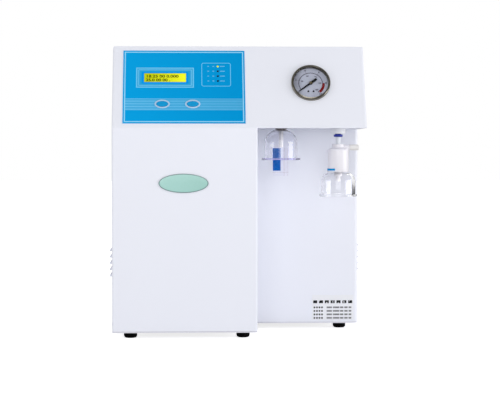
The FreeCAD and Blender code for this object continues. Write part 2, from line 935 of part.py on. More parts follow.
def indicator_leds():
    """Round lights that stand just out of the overlay, on leads from the control board."""
    nose = overlay_skin + led_stand
    shoulder = nose - led_length
    lead_radius = led_radius * 0.5
    rim = led_radius + led_rim
    lights = [turned([(0, -board_depth), (lead_radius, -board_depth), (lead_radius, shoulder),
                      (rim, shoulder),
                      (rim, shoulder + 1), (led_radius, shoulder + 1), (led_radius, nose, led_radius * 0.5),
                      (0, nose)], (led_from_left, 0, z), "-y", OVERLAY) for z in led_places()]
    piece("indicator_leds", group(*lights))


def key_cap(x):
    """An oval cap with a rim that the fascia retains, and a stem that reaches its switch."""
    gap = running_clearance * 2
    rim_front = sheet_gauge + gap
    rim_skin = 1
    stem_end = board_depth - switch_height - switch_button - key_travel - gap
    cap = oval(x, -overlay_skin - key_stand, key_rise, key_half_width, key_half_height,
               overlay_skin + key_stand + rim_front, OVERLAY)
    rim = oval(x, rim_front, key_rise, key_half_width + key_rim, key_half_height + key_rim, rim_skin, OVERLAY)
    return fuse(cap, rim, rod(x, rim_front, key_rise, key_stem_radius, stem_end - rim_front, "y", OVERLAY))


def keys():
    gap = slip_clearance
    rings = []
    for name, x in zip(("power_key", "flush_key"), key_places()):
        piece(name, key_cap(x))
        rings.append(cut(
            oval(x, -overlay_skin - key_ring_stand, key_rise, key_half_width + key_ring_band,
                 key_half_height + key_ring_band, key_ring_stand, OVERLAY),
            oval(x, -flange, key_rise, key_half_width + gap, key_half_height + gap, flange, OVERLAY)))
    piece("key_rings", group(*rings))


def control_board():
    """The board on its studs, with the keys' switches in front and relays, a regulator and plugs behind."""
    width, height = overlay_width - board_margin * 2, overlay_height - board_margin * 2
    plate = box(board_margin, board_depth, board_margin, width, board_skin, height, OVERLAY)
    rear = board_depth + board_skin
    relay_width, relay_height, relay_depth = 15.5, 19, 15
    relays = [box(board_margin + width * share, rear, board_margin + height * 0.1,
                  relay_width, relay_depth, relay_height, OVERLAY) for share in (0.4, 0.55, 0.7)]
    plugs = [box(board_margin + width * share, rear, board_margin + height * 0.88,
                 width * 0.2, relay_depth * 0.6, height * 0.08, OVERLAY) for share in (0.08, 0.36, 0.64)]
    processor = box(board_margin + width * 0.35, rear, board_margin + height * 0.5,
                    relay_depth, board_skin, relay_depth, OVERLAY)
    capacitor = rod(board_margin + width * 0.15, rear, board_margin + height * 0.25,
                    relay_depth * 0.35, relay_height, "y", OVERLAY)
    switches = []
    for x in key_places():
        switches.append(box(x - switch_side * 0.5, board_depth - switch_height, key_rise - switch_side * 0.5,
                            switch_side, switch_height, switch_side, OVERLAY))
        switches.append(rod(x, board_depth - switch_height - switch_button, key_rise,
                            switch_button_radius, switch_button, "y", OVERLAY))
    piece("control_board", fuse(plate, processor, capacitor, *relays, *plugs, *switches))


# ---------------------------------------------------------------- pressure gauge

def gauge_shells():
    r, w = gauge_case_radius, gauge_wall
    wall_top = gauge_ring_stand - gauge_lip - gauge_lens_skin
    neck = stem_radius + slip_clearance
    case_rounding = w * 2
    piece("gauge_case", turned([
        (neck, -gauge_depth), (r, -gauge_depth, case_rounding), (r, 0), (gauge_ring_radius, 0),
        (gauge_ring_radius, gauge_flange), (r, gauge_flange), (r, wall_top), (r - w, wall_top),
        (r - w, w - gauge_depth, case_rounding - w), (neck, w - gauge_depth),
    ], (0, 0, 0), "-y", GAUGE))
    piece("gauge_lens", rod(0, -wall_top, 0, r, gauge_lens_skin, "-y", GAUGE))
    lens_top = wall_top + gauge_lens_skin
    piece("gauge_ring", turned([
        (r + running_clearance, gauge_flange), (gauge_ring_radius, gauge_flange),
        (gauge_ring_radius, gauge_ring_stand, gauge_lip), (gauge_view_radius, gauge_ring_stand),
        (gauge_view_radius, lens_top), (r + running_clearance, lens_top),
    ], (0, 0, 0), "-y", GAUGE))
    plate = rod(0, dial_sink, 0, r - w - slip_clearance, dial_skin, "-y", GAUGE)
    piece("gauge_dial", cut(plate, rod(0, dial_sink * 2, 0, arbor_radius * 2, gauge_depth, "-y", GAUGE)))


def gear_teeth(tooth_count, cut_count, first_angle):
    """Straight-sided teeth, thinner than half the pitch so that they run free: points in order of angle."""
    step = 360 / tooth_count
    module = gear_module.value
    pitch_radius = module * tooth_count / 2
    tip, root = pitch_radius + 0.75 * module, pitch_radius - 1.05 * module
    points = []
    for i in range(cut_count):
        for share, radius in ((-0.28, root), (-0.11, tip), (0.11, tip), (0.28, root)):
            angle = math.radians(first_angle + step * (i + share))
            points.append(FreeCAD.Vector(radius * math.cos(angle), radius * math.sin(angle), 0))
    return points


def beside_dial(made, x, stand, z, turn):
    """Lays a flat piece parallel to the dial, its thickness pointing out of the gauge."""
    out = Frame((x, -as_size(stand), z), (1, 0, 0), 90, within=GAUGE)
    made.setExpression("Placement", f"{out.text} * {place_text((0, 0, 0), (0, 0, 1), turn)}")
    return made


def gauge_pointer():
    """The pointer at zero with its hub and arbor, and the pinion behind the dial."""
    tip, tail = pointer_tip_width.value / 2, pointer_tail_width.value / 2
    reach, back_reach, hub = pointer_reach.value, pointer_tail.value, pointer_hub_radius.value
    outline = [(reach, 0), (reach - 4 * tip, tip), (0, tail * 0.7), (-hub, tail), (-back_reach, tail)]
    mirrored = [(x, -y) for x, y in reversed(outline[1:])]
    blade = flat_feature([FreeCAD.Vector(x, y, 0) for x, y in outline + mirrored], pointer_skin.value)
    beside_dial(blade, 0, pointer_stand, 0, -pointer_rest)
    arbor_end = slip_clearance - movement_back - movement_plate_skin
    hub_top = pointer_stand + pointer_skin
    spindle = turned([
        (0, arbor_end), (arbor_radius, arbor_end), (arbor_radius, pointer_stand - pointer_skin),
        (pointer_hub_radius, pointer_stand - pointer_skin), (pointer_hub_radius, hub_top),
        (arbor_radius * 2, hub_top), (arbor_radius * 2, hub_top + pointer_skin), (0, hub_top + pointer_skin),
    ], (0, 0, 0), "-y", GAUGE)
    pinion = flat_feature(gear_teeth(pinion_tooth_count, pinion_tooth_count, 0), gear_face.value)
    beside_dial(pinion, 0, -gear_stand - gear_face, 0, sector_angle)
    piece("gauge_pointer", fuse(blade, spindle, pinion))


def sector_pivot():
    distance = gear_module * (pinion_tooth_count + sector_tooth_count) * 0.5
    return distance * cosine(sector_angle), distance * sine(sector_angle)


def gauge_sector():
    """The toothed sector that the Bourdon tube swings; it meshes with the pointer's pinion."""
    step = 360 / sector_tooth_count
    first = (sector_spare_count - sector_cut_count + 0.5) * step
    last = first + (sector_cut_count - 1) * step
    hub_angles = (last + 70, last + 130, first + 230, first + 290)
    hub = [FreeCAD.Vector(sector_hub_radius.value * math.cos(math.radians(a)),
                          sector_hub_radius.value * math.sin(math.radians(a)), 0) for a in hub_angles]
    bore = arbor_radius.value + running_clearance.value
    teeth = gear_teeth(sector_tooth_count, sector_cut_count, first)
    plate = flat_feature([*teeth, *hub], gear_face.value, [(0, 0, bore)])
    x, z = sector_pivot()
    piece("gauge_sector", beside_dial(plate, x, -gear_stand - gear_face, z, 180 + sector_angle))


def gauge_movement():
    """Two plates on pillars, the sector's pin, the dial's posts, and the socket block with its stem."""
    skin = movement_plate_skin
    centre = (movement_offset, movement_offset)
    plates = [rod(centre[0], y, centre[1], movement_plate_radius, skin, "y", GAUGE)
              for y in (movement_front, movement_back)]
    between = movement_front + skin
    spots = [(-pillar_reach, movement_front), (movement_front, -pillar_reach),
             (pillar_far_reach, pillar_far_reach)]
    pillars = [rod(x, between, z, pillar_radius, movement_back - between, "y", GAUGE) for x, z in spots]
    pivot_x, pivot_z = sector_pivot()
    pin = rod(pivot_x, between, pivot_z, arbor_radius, movement_back - between, "y", GAUGE)
    posts = [rod(x, dial_sink, -dial_screw_drop, pillar_radius, movement_front - dial_sink, "y", GAUGE)
             for x in (-dial_screw_spacing * 0.5, dial_screw_spacing * 0.5)]
    block_front = movement_back + skin
    block_back = gauge_depth - gauge_wall
    block = box(-socket_side * 0.5, block_front, -socket_side * 0.5, socket_side, block_back - block_front,
                socket_side, GAUGE)
    stem = rod(0, block_back, 0, stem_radius, gauge_wall + stem_length, "y", GAUGE)
    arbor_holes = rod(0, 0, 0, arbor_radius + running_clearance, block_front, "y", GAUGE)
    stem_bore = rod(0, gauge_depth + stem_length - socket_bore, 0, hose_radius + hose_clearance,
                    socket_bore, "y", GAUGE)
    piece("gauge_movement", cut(fuse(*plates, *pillars, pin, *posts, block, stem), arbor_holes, stem_bore))


def bourdon_tube():
    """The flattened C-shaped tube that the socket block carries; pressure opens it a little."""
    y = movement_back + movement_plate_skin * 2
    outer, inner = bourdon_radius + bourdon_skin * 0.5, bourdon_radius - bourdon_skin * 0.5
    loop = cut(rod(0, y, 0, outer, bourdon_width, "y", GAUGE), rod(0, y, 0, inner, bourdon_width, "y", GAUGE),
               box(-bourdon_foot * 0.5 - bourdon_mouth, y, -outer * 1.1, bourdon_mouth, bourdon_width,
                   inner, GAUGE))
    foot = box(-bourdon_foot * 0.5, y, -bourdon_radius, bourdon_foot, bourdon_width,
               bourdon_radius - socket_side * 0.5, GAUGE)
    piece("bourdon_tube", fuse(loop, foot))


def gauge_clamp():
    """The U-shaped strap that holds the gauge to the fascia from behind, with its ring nut on the stem."""
    t = sheet_gauge
    reach = gauge_case_radius + clamp_gap
    bar = box(-reach - t, gauge_depth, -clamp_width * 0.5, (reach + t) * 2, t, clamp_width, GAUGE)
    legs = [box(x, t, -clamp_width * 0.5, t, gauge_depth, clamp_width, GAUGE) for x in (-reach - t, reach)]
    hole = rod(0, 0, 0, stem_radius + slip_clearance, gauge_depth * 2, "y", GAUGE)
    piece("gauge_clamp", cut(fuse(bar, *legs), hole))


# ---------------------------------------------------------------- outlets

def hex_nut(x, y, z, bore_radius, along="z", radius=lock_nut_radius, height=lock_nut_height):
    body = bind(doc.addObject("Part::Prism", "Hexagon"), Circumradius=radius, Height=height)
    body.Polygon = 6
    put(body, WORLD, (x, y, z), along)
    return cut(body, rod(x, y, z, bore_radius + running_clearance, height, along))


def bulkhead_nuts():
    """The black nut above the left bell, and the nuts that hold the outlets and the rear ports inside."""
    nuts = [
        hex_nut(nozzle_x, tap_y, bend - outer_nut_height, nozzle_thread_radius, height=outer_nut_height),
        hex_nut(nozzle_x, tap_y, bend + sheet_gauge, nozzle_thread_radius),
        hex_nut(filter_x, tap_y, bend + sheet_gauge, fitting_stem_radius, radius=fitting_radius),
    ]
    nuts += [hex_nut(x, back - sheet_gauge, port_z, port_stem_radius, "-y", fitting_radius, port_nut_height)
             for x in port_places]
    piece("bulkhead_nuts", group(*nuts))


def bell(x, z, bore_radius, radius, flange_radius, height, shoulder):
    """A clear splash guard that opens downwards, with a flange at its rim; z is its top."""
    w = bell_wall
    return turned([
        (bore_radius, 0), (radius, 0, shoulder), (radius, bell_flange - height),
        (flange_radius, bell_flange - height), (flange_radius, -height), (radius - w, -height),
        (radius - w, -w, shoulder - w), (bore_radius, -w),
    ], (x, tap_y, z))


def left_outlet():
    """The nozzle, whose collar clamps the bell against the black nut."""
    bell_top = bend - outer_nut_height
    collar_top = bell_top - bell_wall
    collar_low = collar_top - nozzle_collar
    tip = bend - nozzle_drop
    thread_top = bend + sheet_gauge + lock_nut_height * 2
    piece("outlet_nozzle", turned([
        (nozzle_bore_radius, tip), (nozzle_radius, tip), (nozzle_radius, collar_low),
        (nozzle_collar_radius, collar_low), (nozzle_collar_radius, collar_top),
        (nozzle_thread_radius, collar_top), (nozzle_thread_radius, thread_top),
        (nozzle_bore_radius, thread_top),
    ], (nozzle_x, tap_y, 0)))
    piece("nozzle_bell", bell(nozzle_x, bell_top, nozzle_thread_radius + running_clearance,
                              nozzle_bell_radius, nozzle_bell_flange_radius, nozzle_bell_height,
                              nozzle_bell_shoulder))


def curved_sheet(x, z, radius, skin, left_reach, right_reach, height):
    """A sheet bent round an outlet's axis, on the side that faces forwards; radius is its outer one."""
    ring = cut(rod(x, tap_y, z, radius, height), rod(x, tap_y, z, radius - skin, height))
    return common(ring, box(x - left_reach, tap_y - radius * 2, z,
                            left_reach + right_reach, radius * 2, height))


def tags():
    """The clear tag inside the front of the left bell, the blue label behind it, and the capsule's label."""
    rim = bend - outer_nut_height - nozzle_bell_height
    inside = nozzle_bell_radius - bell_wall - running_clearance
    film = curved_sheet(nozzle_x, rim - film_drop, inside, film_skin, film_left, film_right, film_height)
    piece("tag_film", film)
    blue = curved_sheet(nozzle_x, rim - tag_drop, inside - film_skin - running_clearance, tag_skin,
                        film_left, tag_right, tag_height)
    outer = capsule_radius + running_clearance + label_skin
    label = curved_sheet(filter_x, capsule_bottom + capsule_foot_rounding + label_rise, outer, label_skin,
                         outer, -label_inset, label_height)
    piece("outlet_tags", group(blue, label))


def right_outlet():
    """The push-fit fitting, its collet, the tube down to the capsule, and the bell on its nipple."""
    tube_bore = outlet_tube_radius + running_clearance
    sleeve_bore = collet_sleeve_radius + running_clearance
    sleeve_top = collet_sleeve - fitting_head
    tube_top = sleeve_top + outlet_tube_seat
    hose_bore = hose_radius + hose_clearance
    piece("outlet_fitting", turned([
        (sleeve_bore, -fitting_head), (fitting_radius, -fitting_head), (fitting_radius, 0),
        (fitting_stem_radius, 0), (fitting_stem_radius, fitting_stem), (hose_bore, fitting_stem),
        (hose_bore, fitting_stem - socket_bore), (fitting_waterway_radius, fitting_stem - socket_bore),
        (fitting_waterway_radius, tube_top), (tube_bore, tube_top), (tube_bore, sleeve_top),
        (sleeve_bore, sleeve_top),
    ], (filter_x, tap_y, bend)))
    head_top = -fitting_head - collet_travel - running_clearance
    hidden_top = sleeve_top - collet_travel - running_clearance
    piece("outlet_collet", turned([
        (tube_bore, head_top - collet_head), (collet_radius, head_top - collet_head),
        (collet_radius, head_top),
        (collet_sleeve_radius, head_top), (collet_sleeve_radius, hidden_top), (tube_bore, hidden_top),
    ], (filter_x, tap_y, bend)))
    piece("outlet_tube", turned([
        (outlet_tube_bore_radius, -capsule_drop - capsule_socket),
        (outlet_tube_radius, -capsule_drop - capsule_socket),
        (outlet_tube_radius, tube_top), (outlet_tube_bore_radius, tube_top),
    ], (filter_x, tap_y, bend)))
    filter_capsule(tube_bore)
    piece("filter_bell", bell(filter_x, capsule_bottom, nipple_radius + running_clearance, filter_bell_radius,
                              filter_bell_flange_radius, filter_bell_height, filter_bell_shoulder))


def filter_capsule(tube_bore):
    """The terminal filter: a round shell with a neck, a vent boss and an outlet barb, and its membrane."""
    r, w, neck = capsule_radius, capsule_wall, capsule_neck_radius
    shoulder_top = capsule_height - capsule_neck
    shoulder_low = shoulder_top - capsule_shoulder
    nipple_end = -nipple_length
    barb_end = nipple_end - barb_length
    socket_floor = capsule_height - capsule_socket
    shell = turned([
        (tube_bore, capsule_height), (neck, capsule_height), (neck, shoulder_top), (r, shoulder_low),
        (r, 0, capsule_foot_rounding), (nipple_radius, 0), (nipple_radius, nipple_end),
        (barb_radius, nipple_end), (barb_radius, barb_end), (barb_bore_radius, barb_end),
        (barb_bore_radius, w), (r - w, w, capsule_floor_rounding), (r - w, shoulder_low - w),
        (neck - w, socket_floor - w), (barb_bore_radius, socket_floor - w), (barb_bore_radius, socket_floor),
        (tube_bore, socket_floor),
    ], (filter_x, tap_y, capsule_bottom))
    vent_z = capsule_top - vent_drop
    boss_from = filter_x + neck * 0.8
    boss_to = filter_x + vent_reach
    boss = rod(boss_from, tap_y, vent_z, vent_radius, boss_to - boss_from, "x")
    spigot = rod(boss_to, tap_y, vent_z, vent_spigot_radius, vent_spigot, "x")
    piece("filter_capsule", fuse(shell, boss, spigot))
    bore = vent_spigot_radius + running_clearance
    floor = vent_spigot - vent_cap_gap + vent_cap_gap * 2
    piece("vent_cap", turned([
        (0, floor), (bore, floor), (bore, vent_cap_gap), (vent_radius, vent_cap_gap),
        (vent_radius, vent_cap_length + vent_cap_gap, vent_cap_gap * 3), (0, vent_cap_length + vent_cap_gap),
    ], (boss_to, tap_y, vent_z), "x"))
    core_top = shoulder_low - w - membrane_gap
    piece("filter_membrane", turned([
        (membrane_core_radius, w), (r - w - membrane_gap, w, capsule_floor_rounding),
        (r - w - membrane_gap, core_top), (membrane_core_radius, core_top),
    ], (filter_x, tap_y, capsule_bottom)))


# ---------------------------------------------------------------- water path inside

STEP = {"x": (1, 0, 0), "-x": (-1, 0, 0), "y": (0, 1, 0), "-y": (0, -1, 0), "z": (0, 0, 1), "-z": (0, 0, -1)}


def ahead(point, along, distance):
    return tuple(p + distance * s if s else as_size(p) for p, s in zip(point, STEP[along]))


def socket(point, along):
    """A push-fit arm from a point, and the rods that bore it out. Level arms are a little slimmer."""
    slimmer = 0 if along in ("z", "-z") else slip_clearance
    bore_from = ahead(point, along, socket_length - socket_bore)
    return (rod(*point, socket_radius - slimmer, socket_length, along),
            [rod(*bore_from, hose_radius + hose_clearance, socket_bore, along),
             rod(*point, fitting_waterway_radius - slimmer, socket_length, along)])


def seat(point, along):
    """Where a hose ends in the socket that starts at a point."""
    return ahead(point, along, socket_length - socket_bore)


def elbow_place(x, y, up):
    """The corner of the elbow on a vessel's upper (up = 1) or lower (up = -1) cap."""
    end = vessel_high if up > 0 else vessel_low
    return (x, y, end + vessel_stub * up)


def vessel(x, y, elbows):
    """A round pressure vessel with end caps; elbows lists (x offset, 1 or -1, direction of its socket)."""
    r, cap, length = vessel_radius, vessel_cap_radius, vessel_length
    shell = turned([
        (0, 0), (cap, 0, screw_head), (cap, vessel_cap), (r, vessel_cap), (r, length - vessel_cap),
        (cap, length - vessel_cap), (cap, length, screw_head), (0, length),
    ], (x, y, vessel_low))
    solids, bores = [shell], [rod(x, y, vessel_low + vessel_cap * 0.5, r - vessel_wall, length - vessel_cap)]
    for offset, up, along in elbows:
        corner = elbow_place(x + offset, y, up)
        start = vessel_high if up > 0 else corner[2] - vessel_stub_radius
        solids.append(rod(x + offset, y, start, vessel_stub_radius, vessel_stub + vessel_stub_radius))
        arm, tools = socket(corner, along)
        solids.append(arm)
        way_from = vessel_high - vessel_cap if up > 0 else corner[2]
        bores += [*tools, rod(x + offset, y, way_from, vessel_way_radius, vessel_stub + vessel_cap)]
    return cut(fuse(*solids), *bores)


def vessels():
    """The reverse osmosis housing and the prefilter at the rear, and two polishers behind the bay."""
    y = rear_vessel_y
    piece("osmosis_housing", vessel(membrane_x, y, [(0, -1, "-y"), (-membrane_port_offset, 1, "-y"),
                                                    (membrane_port_offset, 1, "-y")]))
    charge_length = vessel_length - vessel_cap - charge_gap
    charge_radius = vessel_radius - vessel_wall - charge_gap
    piece("osmosis_membrane", rod(membrane_x, y, vessel_low + vessel_cap * 0.5, charge_radius, charge_length))
    piece("prefilter", vessel(prefilter_x, y, [(0, -1, "x"), (0, 1, "-y")]))
    piece("polishing_cartridges", group(*[vessel(x, polisher_y, [(0, -1, "y"), (0, 1, "y")])
                                          for x in polisher_places]))
    clips = []
    heights = (vessel_low + vessel_cap * 2, vessel_high - vessel_cap * 2 - clip_height)
    for z in heights:
        clips += [spring_clip(x, y, z, 1) for x in (membrane_x, prefilter_x)]
        clips += [spring_clip(x, polisher_y, z, -1) for x in polisher_places]
    piece("vessel_clips", group(*clips))


def spring_clip(x, y, z, wall_side):
    """A clip on the wall behind (1) or in front (-1) of a vessel, open on the other side."""
    inner = vessel_radius + running_clearance
    outer = inner + clip_skin
    ring = rod(x, y, z, outer, clip_height)
    base_depth = vessel_from_wall - vessel_radius * 0.8
    base_y = y + vessel_radius * 0.8 if wall_side > 0 else y - vessel_from_wall
    base = box(x - clip_base_width * 0.5, base_y, z, clip_base_width, base_depth, clip_height)
    mouth_y = y - outer * 2 if wall_side > 0 else y
    mouth = box(x - clip_mouth * 0.5, mouth_y, z, clip_mouth, outer * 2, clip_height)
    return cut(fuse(ring, base), rod(x, y, z, inner, clip_height), mouth)


def rear_ports():
    """Push-fit bulkhead connections for the drain, the tank and the feed."""
    bore, way = hose_radius + hose_clearance, fitting_waterway_radius
    inner_end = -sheet_gauge - port_nut_height - port_stem_in
    neck, collar = port_collar_radius - 2, 4
    ports = [turned([
        (bore, rear_reach), (neck, rear_reach), (neck, collar), (port_collar_radius, collar),
        (port_collar_radius, 0), (port_stem_radius, 0), (port_stem_radius, inner_end), (bore, inner_end),
        (bore, inner_end + socket_bore), (way, inner_end + socket_bore), (way, rear_reach - socket_bore),
        (bore, rear_reach - socket_bore),
    ], (x, back, port_z), "y") for x in port_places]
    piece("rear_ports", group(*ports))


def port_seat(i):
    return (port_places[i], back - sheet_gauge - port_nut_height - port_stem_in + socket_bore, port_z)


valve_place = (prefilter_x, back - valve_back_gap, port_z)


def valve_arm(along):
    """Where the feed valve's inlet or outlet socket starts, just inside its body."""
    return ahead(valve_place, along, valve_body_side * 0.5 - (socket_length - socket_bore))


def feed_valve():
    """A solenoid valve on its foot: body, coil, and the plunger that lifts off its seat."""
    x, y, z = valve_place
    side, coil = valve_body_side, valve_coil_side * 0.85
    body_low, body_top = z - side * 0.5, z + side * 0.5
    body = box(x - side * 0.5, y - side * 0.5, body_low, side, side, side)
    foot = box(x - side * 0.4, y - side * 0.4, tray_floor, side * 0.8, side * 0.8, body_low - tray_floor)
    housing = box(x - coil * 0.5, y - coil * 0.5, body_top, coil, coil, valve_coil_height)
    arms, bores = [], []
    for along in ("y", "-y"):
        arm, tools = socket(valve_arm(along), along)
        arms.append(arm)
        bores += tools
    seat_z = body_top - plunger_radius
    chamber = rod(x, y, seat_z, plunger_radius + running_clearance,
                  plunger_length + plunger_travel + slip_clearance)
    way_up = rod(x, y, z, fitting_waterway_radius, side * 0.5)
    way_through = rod(x, y - side * 0.5, z, fitting_waterway_radius - slip_clearance, side, "y")
    piece("feed_valve", cut(fuse(body, foot, housing, *arms), chamber, way_up, way_through, *bores))
    piece("valve_plunger", rod(x, y, seat_z, plunger_radius, plunger_length))


pump_x = left + pump_from_left
pump_y = front + pump_from_front
pump_z = bottom + pump_axis_rise
pump_head_y = pump_y + motor_length


def pump_port(side):
    """Where the pump's inlet (1) or outlet (-1) socket starts, inside the head."""
    return (pump_x + pump_port_offset * side, pump_head_y + pump_head_length * 0.5,
            pump_z + pump_head_radius * 0.75)


def booster_pump():
    """The motor can with its rotor, the diaphragm head with its ports, and the cradle on the floor."""
    bearing = motor_shaft_radius + running_clearance
    r, w, length = motor_radius, motor_wall, motor_length
    piece("pump_motor", turned([
        (bearing, 0), (r, 0, w), (r, length), (bearing, length), (bearing, length - w), (r - w, length - w),
        (r - w, w), (bearing, w),
    ], (pump_x, pump_y, pump_z), "y"))
    shaft, body = motor_shaft_radius, rotor_radius
    piece("pump_rotor", turned([
        (0, 1), (shaft, 1), (shaft, rotor_end_gap), (body, rotor_end_gap), (body, length - rotor_end_gap),
        (shaft, length - rotor_end_gap), (shaft, length + shaft_stand), (0, length + shaft_stand),
    ], (pump_x, pump_y, pump_z), "y"))
    head = rod(pump_x, pump_head_y, pump_z, pump_head_radius, pump_head_length, "y")
    chamber = rod(pump_x, pump_head_y, pump_z, pump_chamber_radius, pump_chamber, "y")
    arms, bores = [], []
    for side in (1, -1):
        arm, tools = socket(pump_port(side), "z")
        arms.append(arm)
        bores += tools
    piece("pump_head", cut(fuse(head, *arms), chamber, *bores))
    inset = cradle_saddle
    plate = box(pump_x - cradle_width * 0.5, pump_y + inset, tray_floor,
                cradle_width, length - inset * 2, cradle_skin)
    saddles = [box(pump_x - r * 0.8, y, tray_floor, r * 1.6, cradle_saddle, pump_z - r * 0.6 - tray_floor)
               for y in (pump_y + inset, pump_head_y - inset * 2)]
    bed = rod(pump_x, pump_y, pump_z, r + running_clearance, length, "y")
    piece("pump_cradle", cut(fuse(plate, *saddles), bed))


# ---------------------------------------------------------------- tees, tubing and wires

tank_y = rear_vessel_y - vessel_cap_radius - 33
pump_tee = (pump_port(-1)[0], pump_port(-1)[1], pump_z + 80)
tank_tee = (port_places[1], tank_y, bottom + 230)
product_tee = (column_edge - 8, tank_y, bottom + 230)
cell_place = (filter_x, tap_y, bend + fitting_stem + 28)


def straight_or_branch(place, alongs):
    arms, bores = [], []
    for along in alongs:
        arm, tools = socket(place, along)
        arms.append(arm)
        bores += tools
    return arms, bores


def line_fittings():
    """Three tees, and the conductivity cell with its probe above the polished water's outlet."""
    made = []
    for place, alongs in ((pump_tee, ("z", "-z", "y")), (tank_tee, ("z", "-z", "x")),
                          (product_tee, ("z", "-z", "-x"))):
        arms, bores = straight_or_branch(place, alongs)
        made.append(cut(fuse(*arms), *bores))
    arms, bores = straight_or_branch(cell_place, ("z", "-z"))
    probe = rod(*cell_place, socket_radius * 0.8, socket_length * 2, "y")
    made.append(cut(fuse(*arms, probe), *bores))
    piece("line_fittings", group(*made))


def water_tubing():
    """Every tube between the sockets, in the order in which the water runs."""
    r = hose_radius
    front_run, loft = rear_vessel_y - vessel_cap_radius, vessel_high + vessel_stub
    low_elbow = vessel_low - vessel_stub
    prefilter_low = elbow_place(prefilter_x, rear_vessel_y, -1)
    prefilter_high = elbow_place(prefilter_x, rear_vessel_y, 1)
    inlet_side = column_edge - 48
    outlet_y = valve_place[1] - 33
    feed = hose(r, port_seat(2), seat(valve_arm("y"), "y"))
    to_prefilter = hose(r, seat(valve_arm("-y"), "-y"), (prefilter_x, outlet_y, port_z),
                        (inlet_side, outlet_y, port_z), (inlet_side, rear_vessel_y, low_elbow),
                        seat(prefilter_low, "x"))
    suction = pump_port(1)
    descent_y = front_run - 58
    to_pump = hose(r, seat(prefilter_high, "-y"), (prefilter_x, descent_y, loft),
                   (prefilter_x, descent_y, pump_z + 100), (suction[0], suction[1], pump_z + 100),
                   seat(suction, "z"))
    to_tee = hose(r, seat(pump_port(-1), "z"), seat(pump_tee, "-z"))
    to_membrane = hose(r, seat(pump_tee, "y"), (pump_tee[0], pump_tee[1] + 60, pump_tee[2]),
                       (membrane_x, front_run - 40, low_elbow),
                       seat(elbow_place(membrane_x, rear_vessel_y, -1), "-y"))
    gauge_far = behind_fascia(gauge_x, gauge_rise, gauge_depth + stem_length + 40)
    gauge_seat = behind_fascia(gauge_x, gauge_rise, gauge_depth + stem_length - socket_bore)
    to_gauge = hose(r, seat(pump_tee, "z"), (pump_tee[0], pump_tee[1], bend),
                    (left + 100, gauge_far[1], gauge_far[2]),
                    gauge_far, gauge_seat)
    permeate_x, reject_x = membrane_x - membrane_port_offset, membrane_x + membrane_port_offset
    permeate = hose(r, seat(elbow_place(permeate_x, rear_vessel_y, 1), "-y"), (permeate_x, tank_y, loft),
                    (tank_tee[0], tank_y, loft), seat(tank_tee, "z"))
    to_tank = hose(r, seat(tank_tee, "-z"), (tank_tee[0], tank_y, port_z), port_seat(1))
    drain = hose(r, seat(elbow_place(reject_x, rear_vessel_y, 1), "-y"), (reject_x, front_run - 10, loft),
                 (reject_x, front_run - 10, port_z + 20), (membrane_x, front_run + 12, port_z), port_seat(0))
    to_product = hose(r, seat(tank_tee, "x"), seat(product_tee, "-x"))
    first, second = polisher_places
    polisher_front = polisher_y + vessel_cap_radius + 17
    to_polisher = hose(r, seat(product_tee, "-z"), (product_tee[0], tank_y, low_elbow + 40),
                       (first, polisher_front + 15, low_elbow), seat(elbow_place(first, polisher_y, -1), "y"))
    between = hose(r, seat(elbow_place(first, polisher_y, 1), "y"), (first, polisher_front, loft),
                   (second, polisher_front, loft), seat(elbow_place(second, polisher_y, 1), "y"))
    riser_x, attic = right - 14, vessel_high + vessel_stub * 2.5
    to_cell = hose(r, seat(elbow_place(second, polisher_y, -1), "y"), (second, polisher_front + 5, low_elbow),
                   (riser_x, polisher_front + 5, low_elbow), (riser_x, polisher_front + 5, attic),
                   (riser_x, tap_y + 30, attic), (filter_x, tap_y, attic), seat(cell_place, "z"))
    to_fitting = hose(r, seat(cell_place, "-z"), (filter_x, tap_y, bend + fitting_stem - socket_bore))
    thread_top = bend + sheet_gauge + lock_nut_height * 2
    to_nozzle = hose(r, seat(product_tee, "z"), (product_tee[0], tank_y, attic),
                     (product_tee[0], tap_y + 46, attic),
                     (nozzle_x, tap_y, attic), (nozzle_x, tap_y, thread_top))
    piece("water_tubing", group(feed, to_prefilter, to_pump, to_tee, to_membrane, to_gauge, permeate, to_tank,
                                drain, to_product, to_polisher, between, to_cell, to_fitting, to_nozzle))


supply_x = right - supply_from_right - supply_width
supply_y = back - supply_from_back - supply_depth
supply_top = tray_floor + supply_height


def electrics():
    """The power supply on the floor, and the wires to it, to the control board and to the pump."""
    case = box(supply_x, supply_y, tray_floor, supply_width, supply_depth, supply_height)
    terminals = box(supply_x - 8, supply_y + supply_depth * 0.5, tray_floor,
                    8, supply_depth * 0.4, supply_height * 0.4)
    piece("power_supply", fuse(case, terminals))
    r = wire_radius
    mains_y = supply_y + supply_depth * 0.65
    mains = hose(r, (inlet_x, back - inlet_body_depth, inlet_z), (inlet_x, mains_y, inlet_z),
                 (inlet_x, mains_y, supply_top))
    board_up = overlay_rise + overlay_height * 0.6
    board_x = left + overlay_from_left + overlay_width * 0.76
    board_rear = board_depth + board_skin
    shelf = behind_fascia(board_x, board_up, board_rear + 40)
    control = hose(r, (supply_x + 20, supply_y + 36, supply_top), (supply_x + 20, supply_y + 36, vessel_high),
                   (board_x, polisher_y + 58, vessel_high), shelf,
                   behind_fascia(board_x, board_up, board_rear))
    motor_y = pump_y + motor_length * 0.5
    loom_x = pump_x + motor_radius + 32
    motor = hose(r, (supply_x, supply_y + 20, tray_floor + 20), (loom_x, supply_y + 20, tray_floor + 20),
                 (loom_x, motor_y, tray_floor + 20), (loom_x, motor_y, pump_z),
                 (pump_x + motor_radius, motor_y, pump_z))
    piece("wires", group(mains, control, motor))


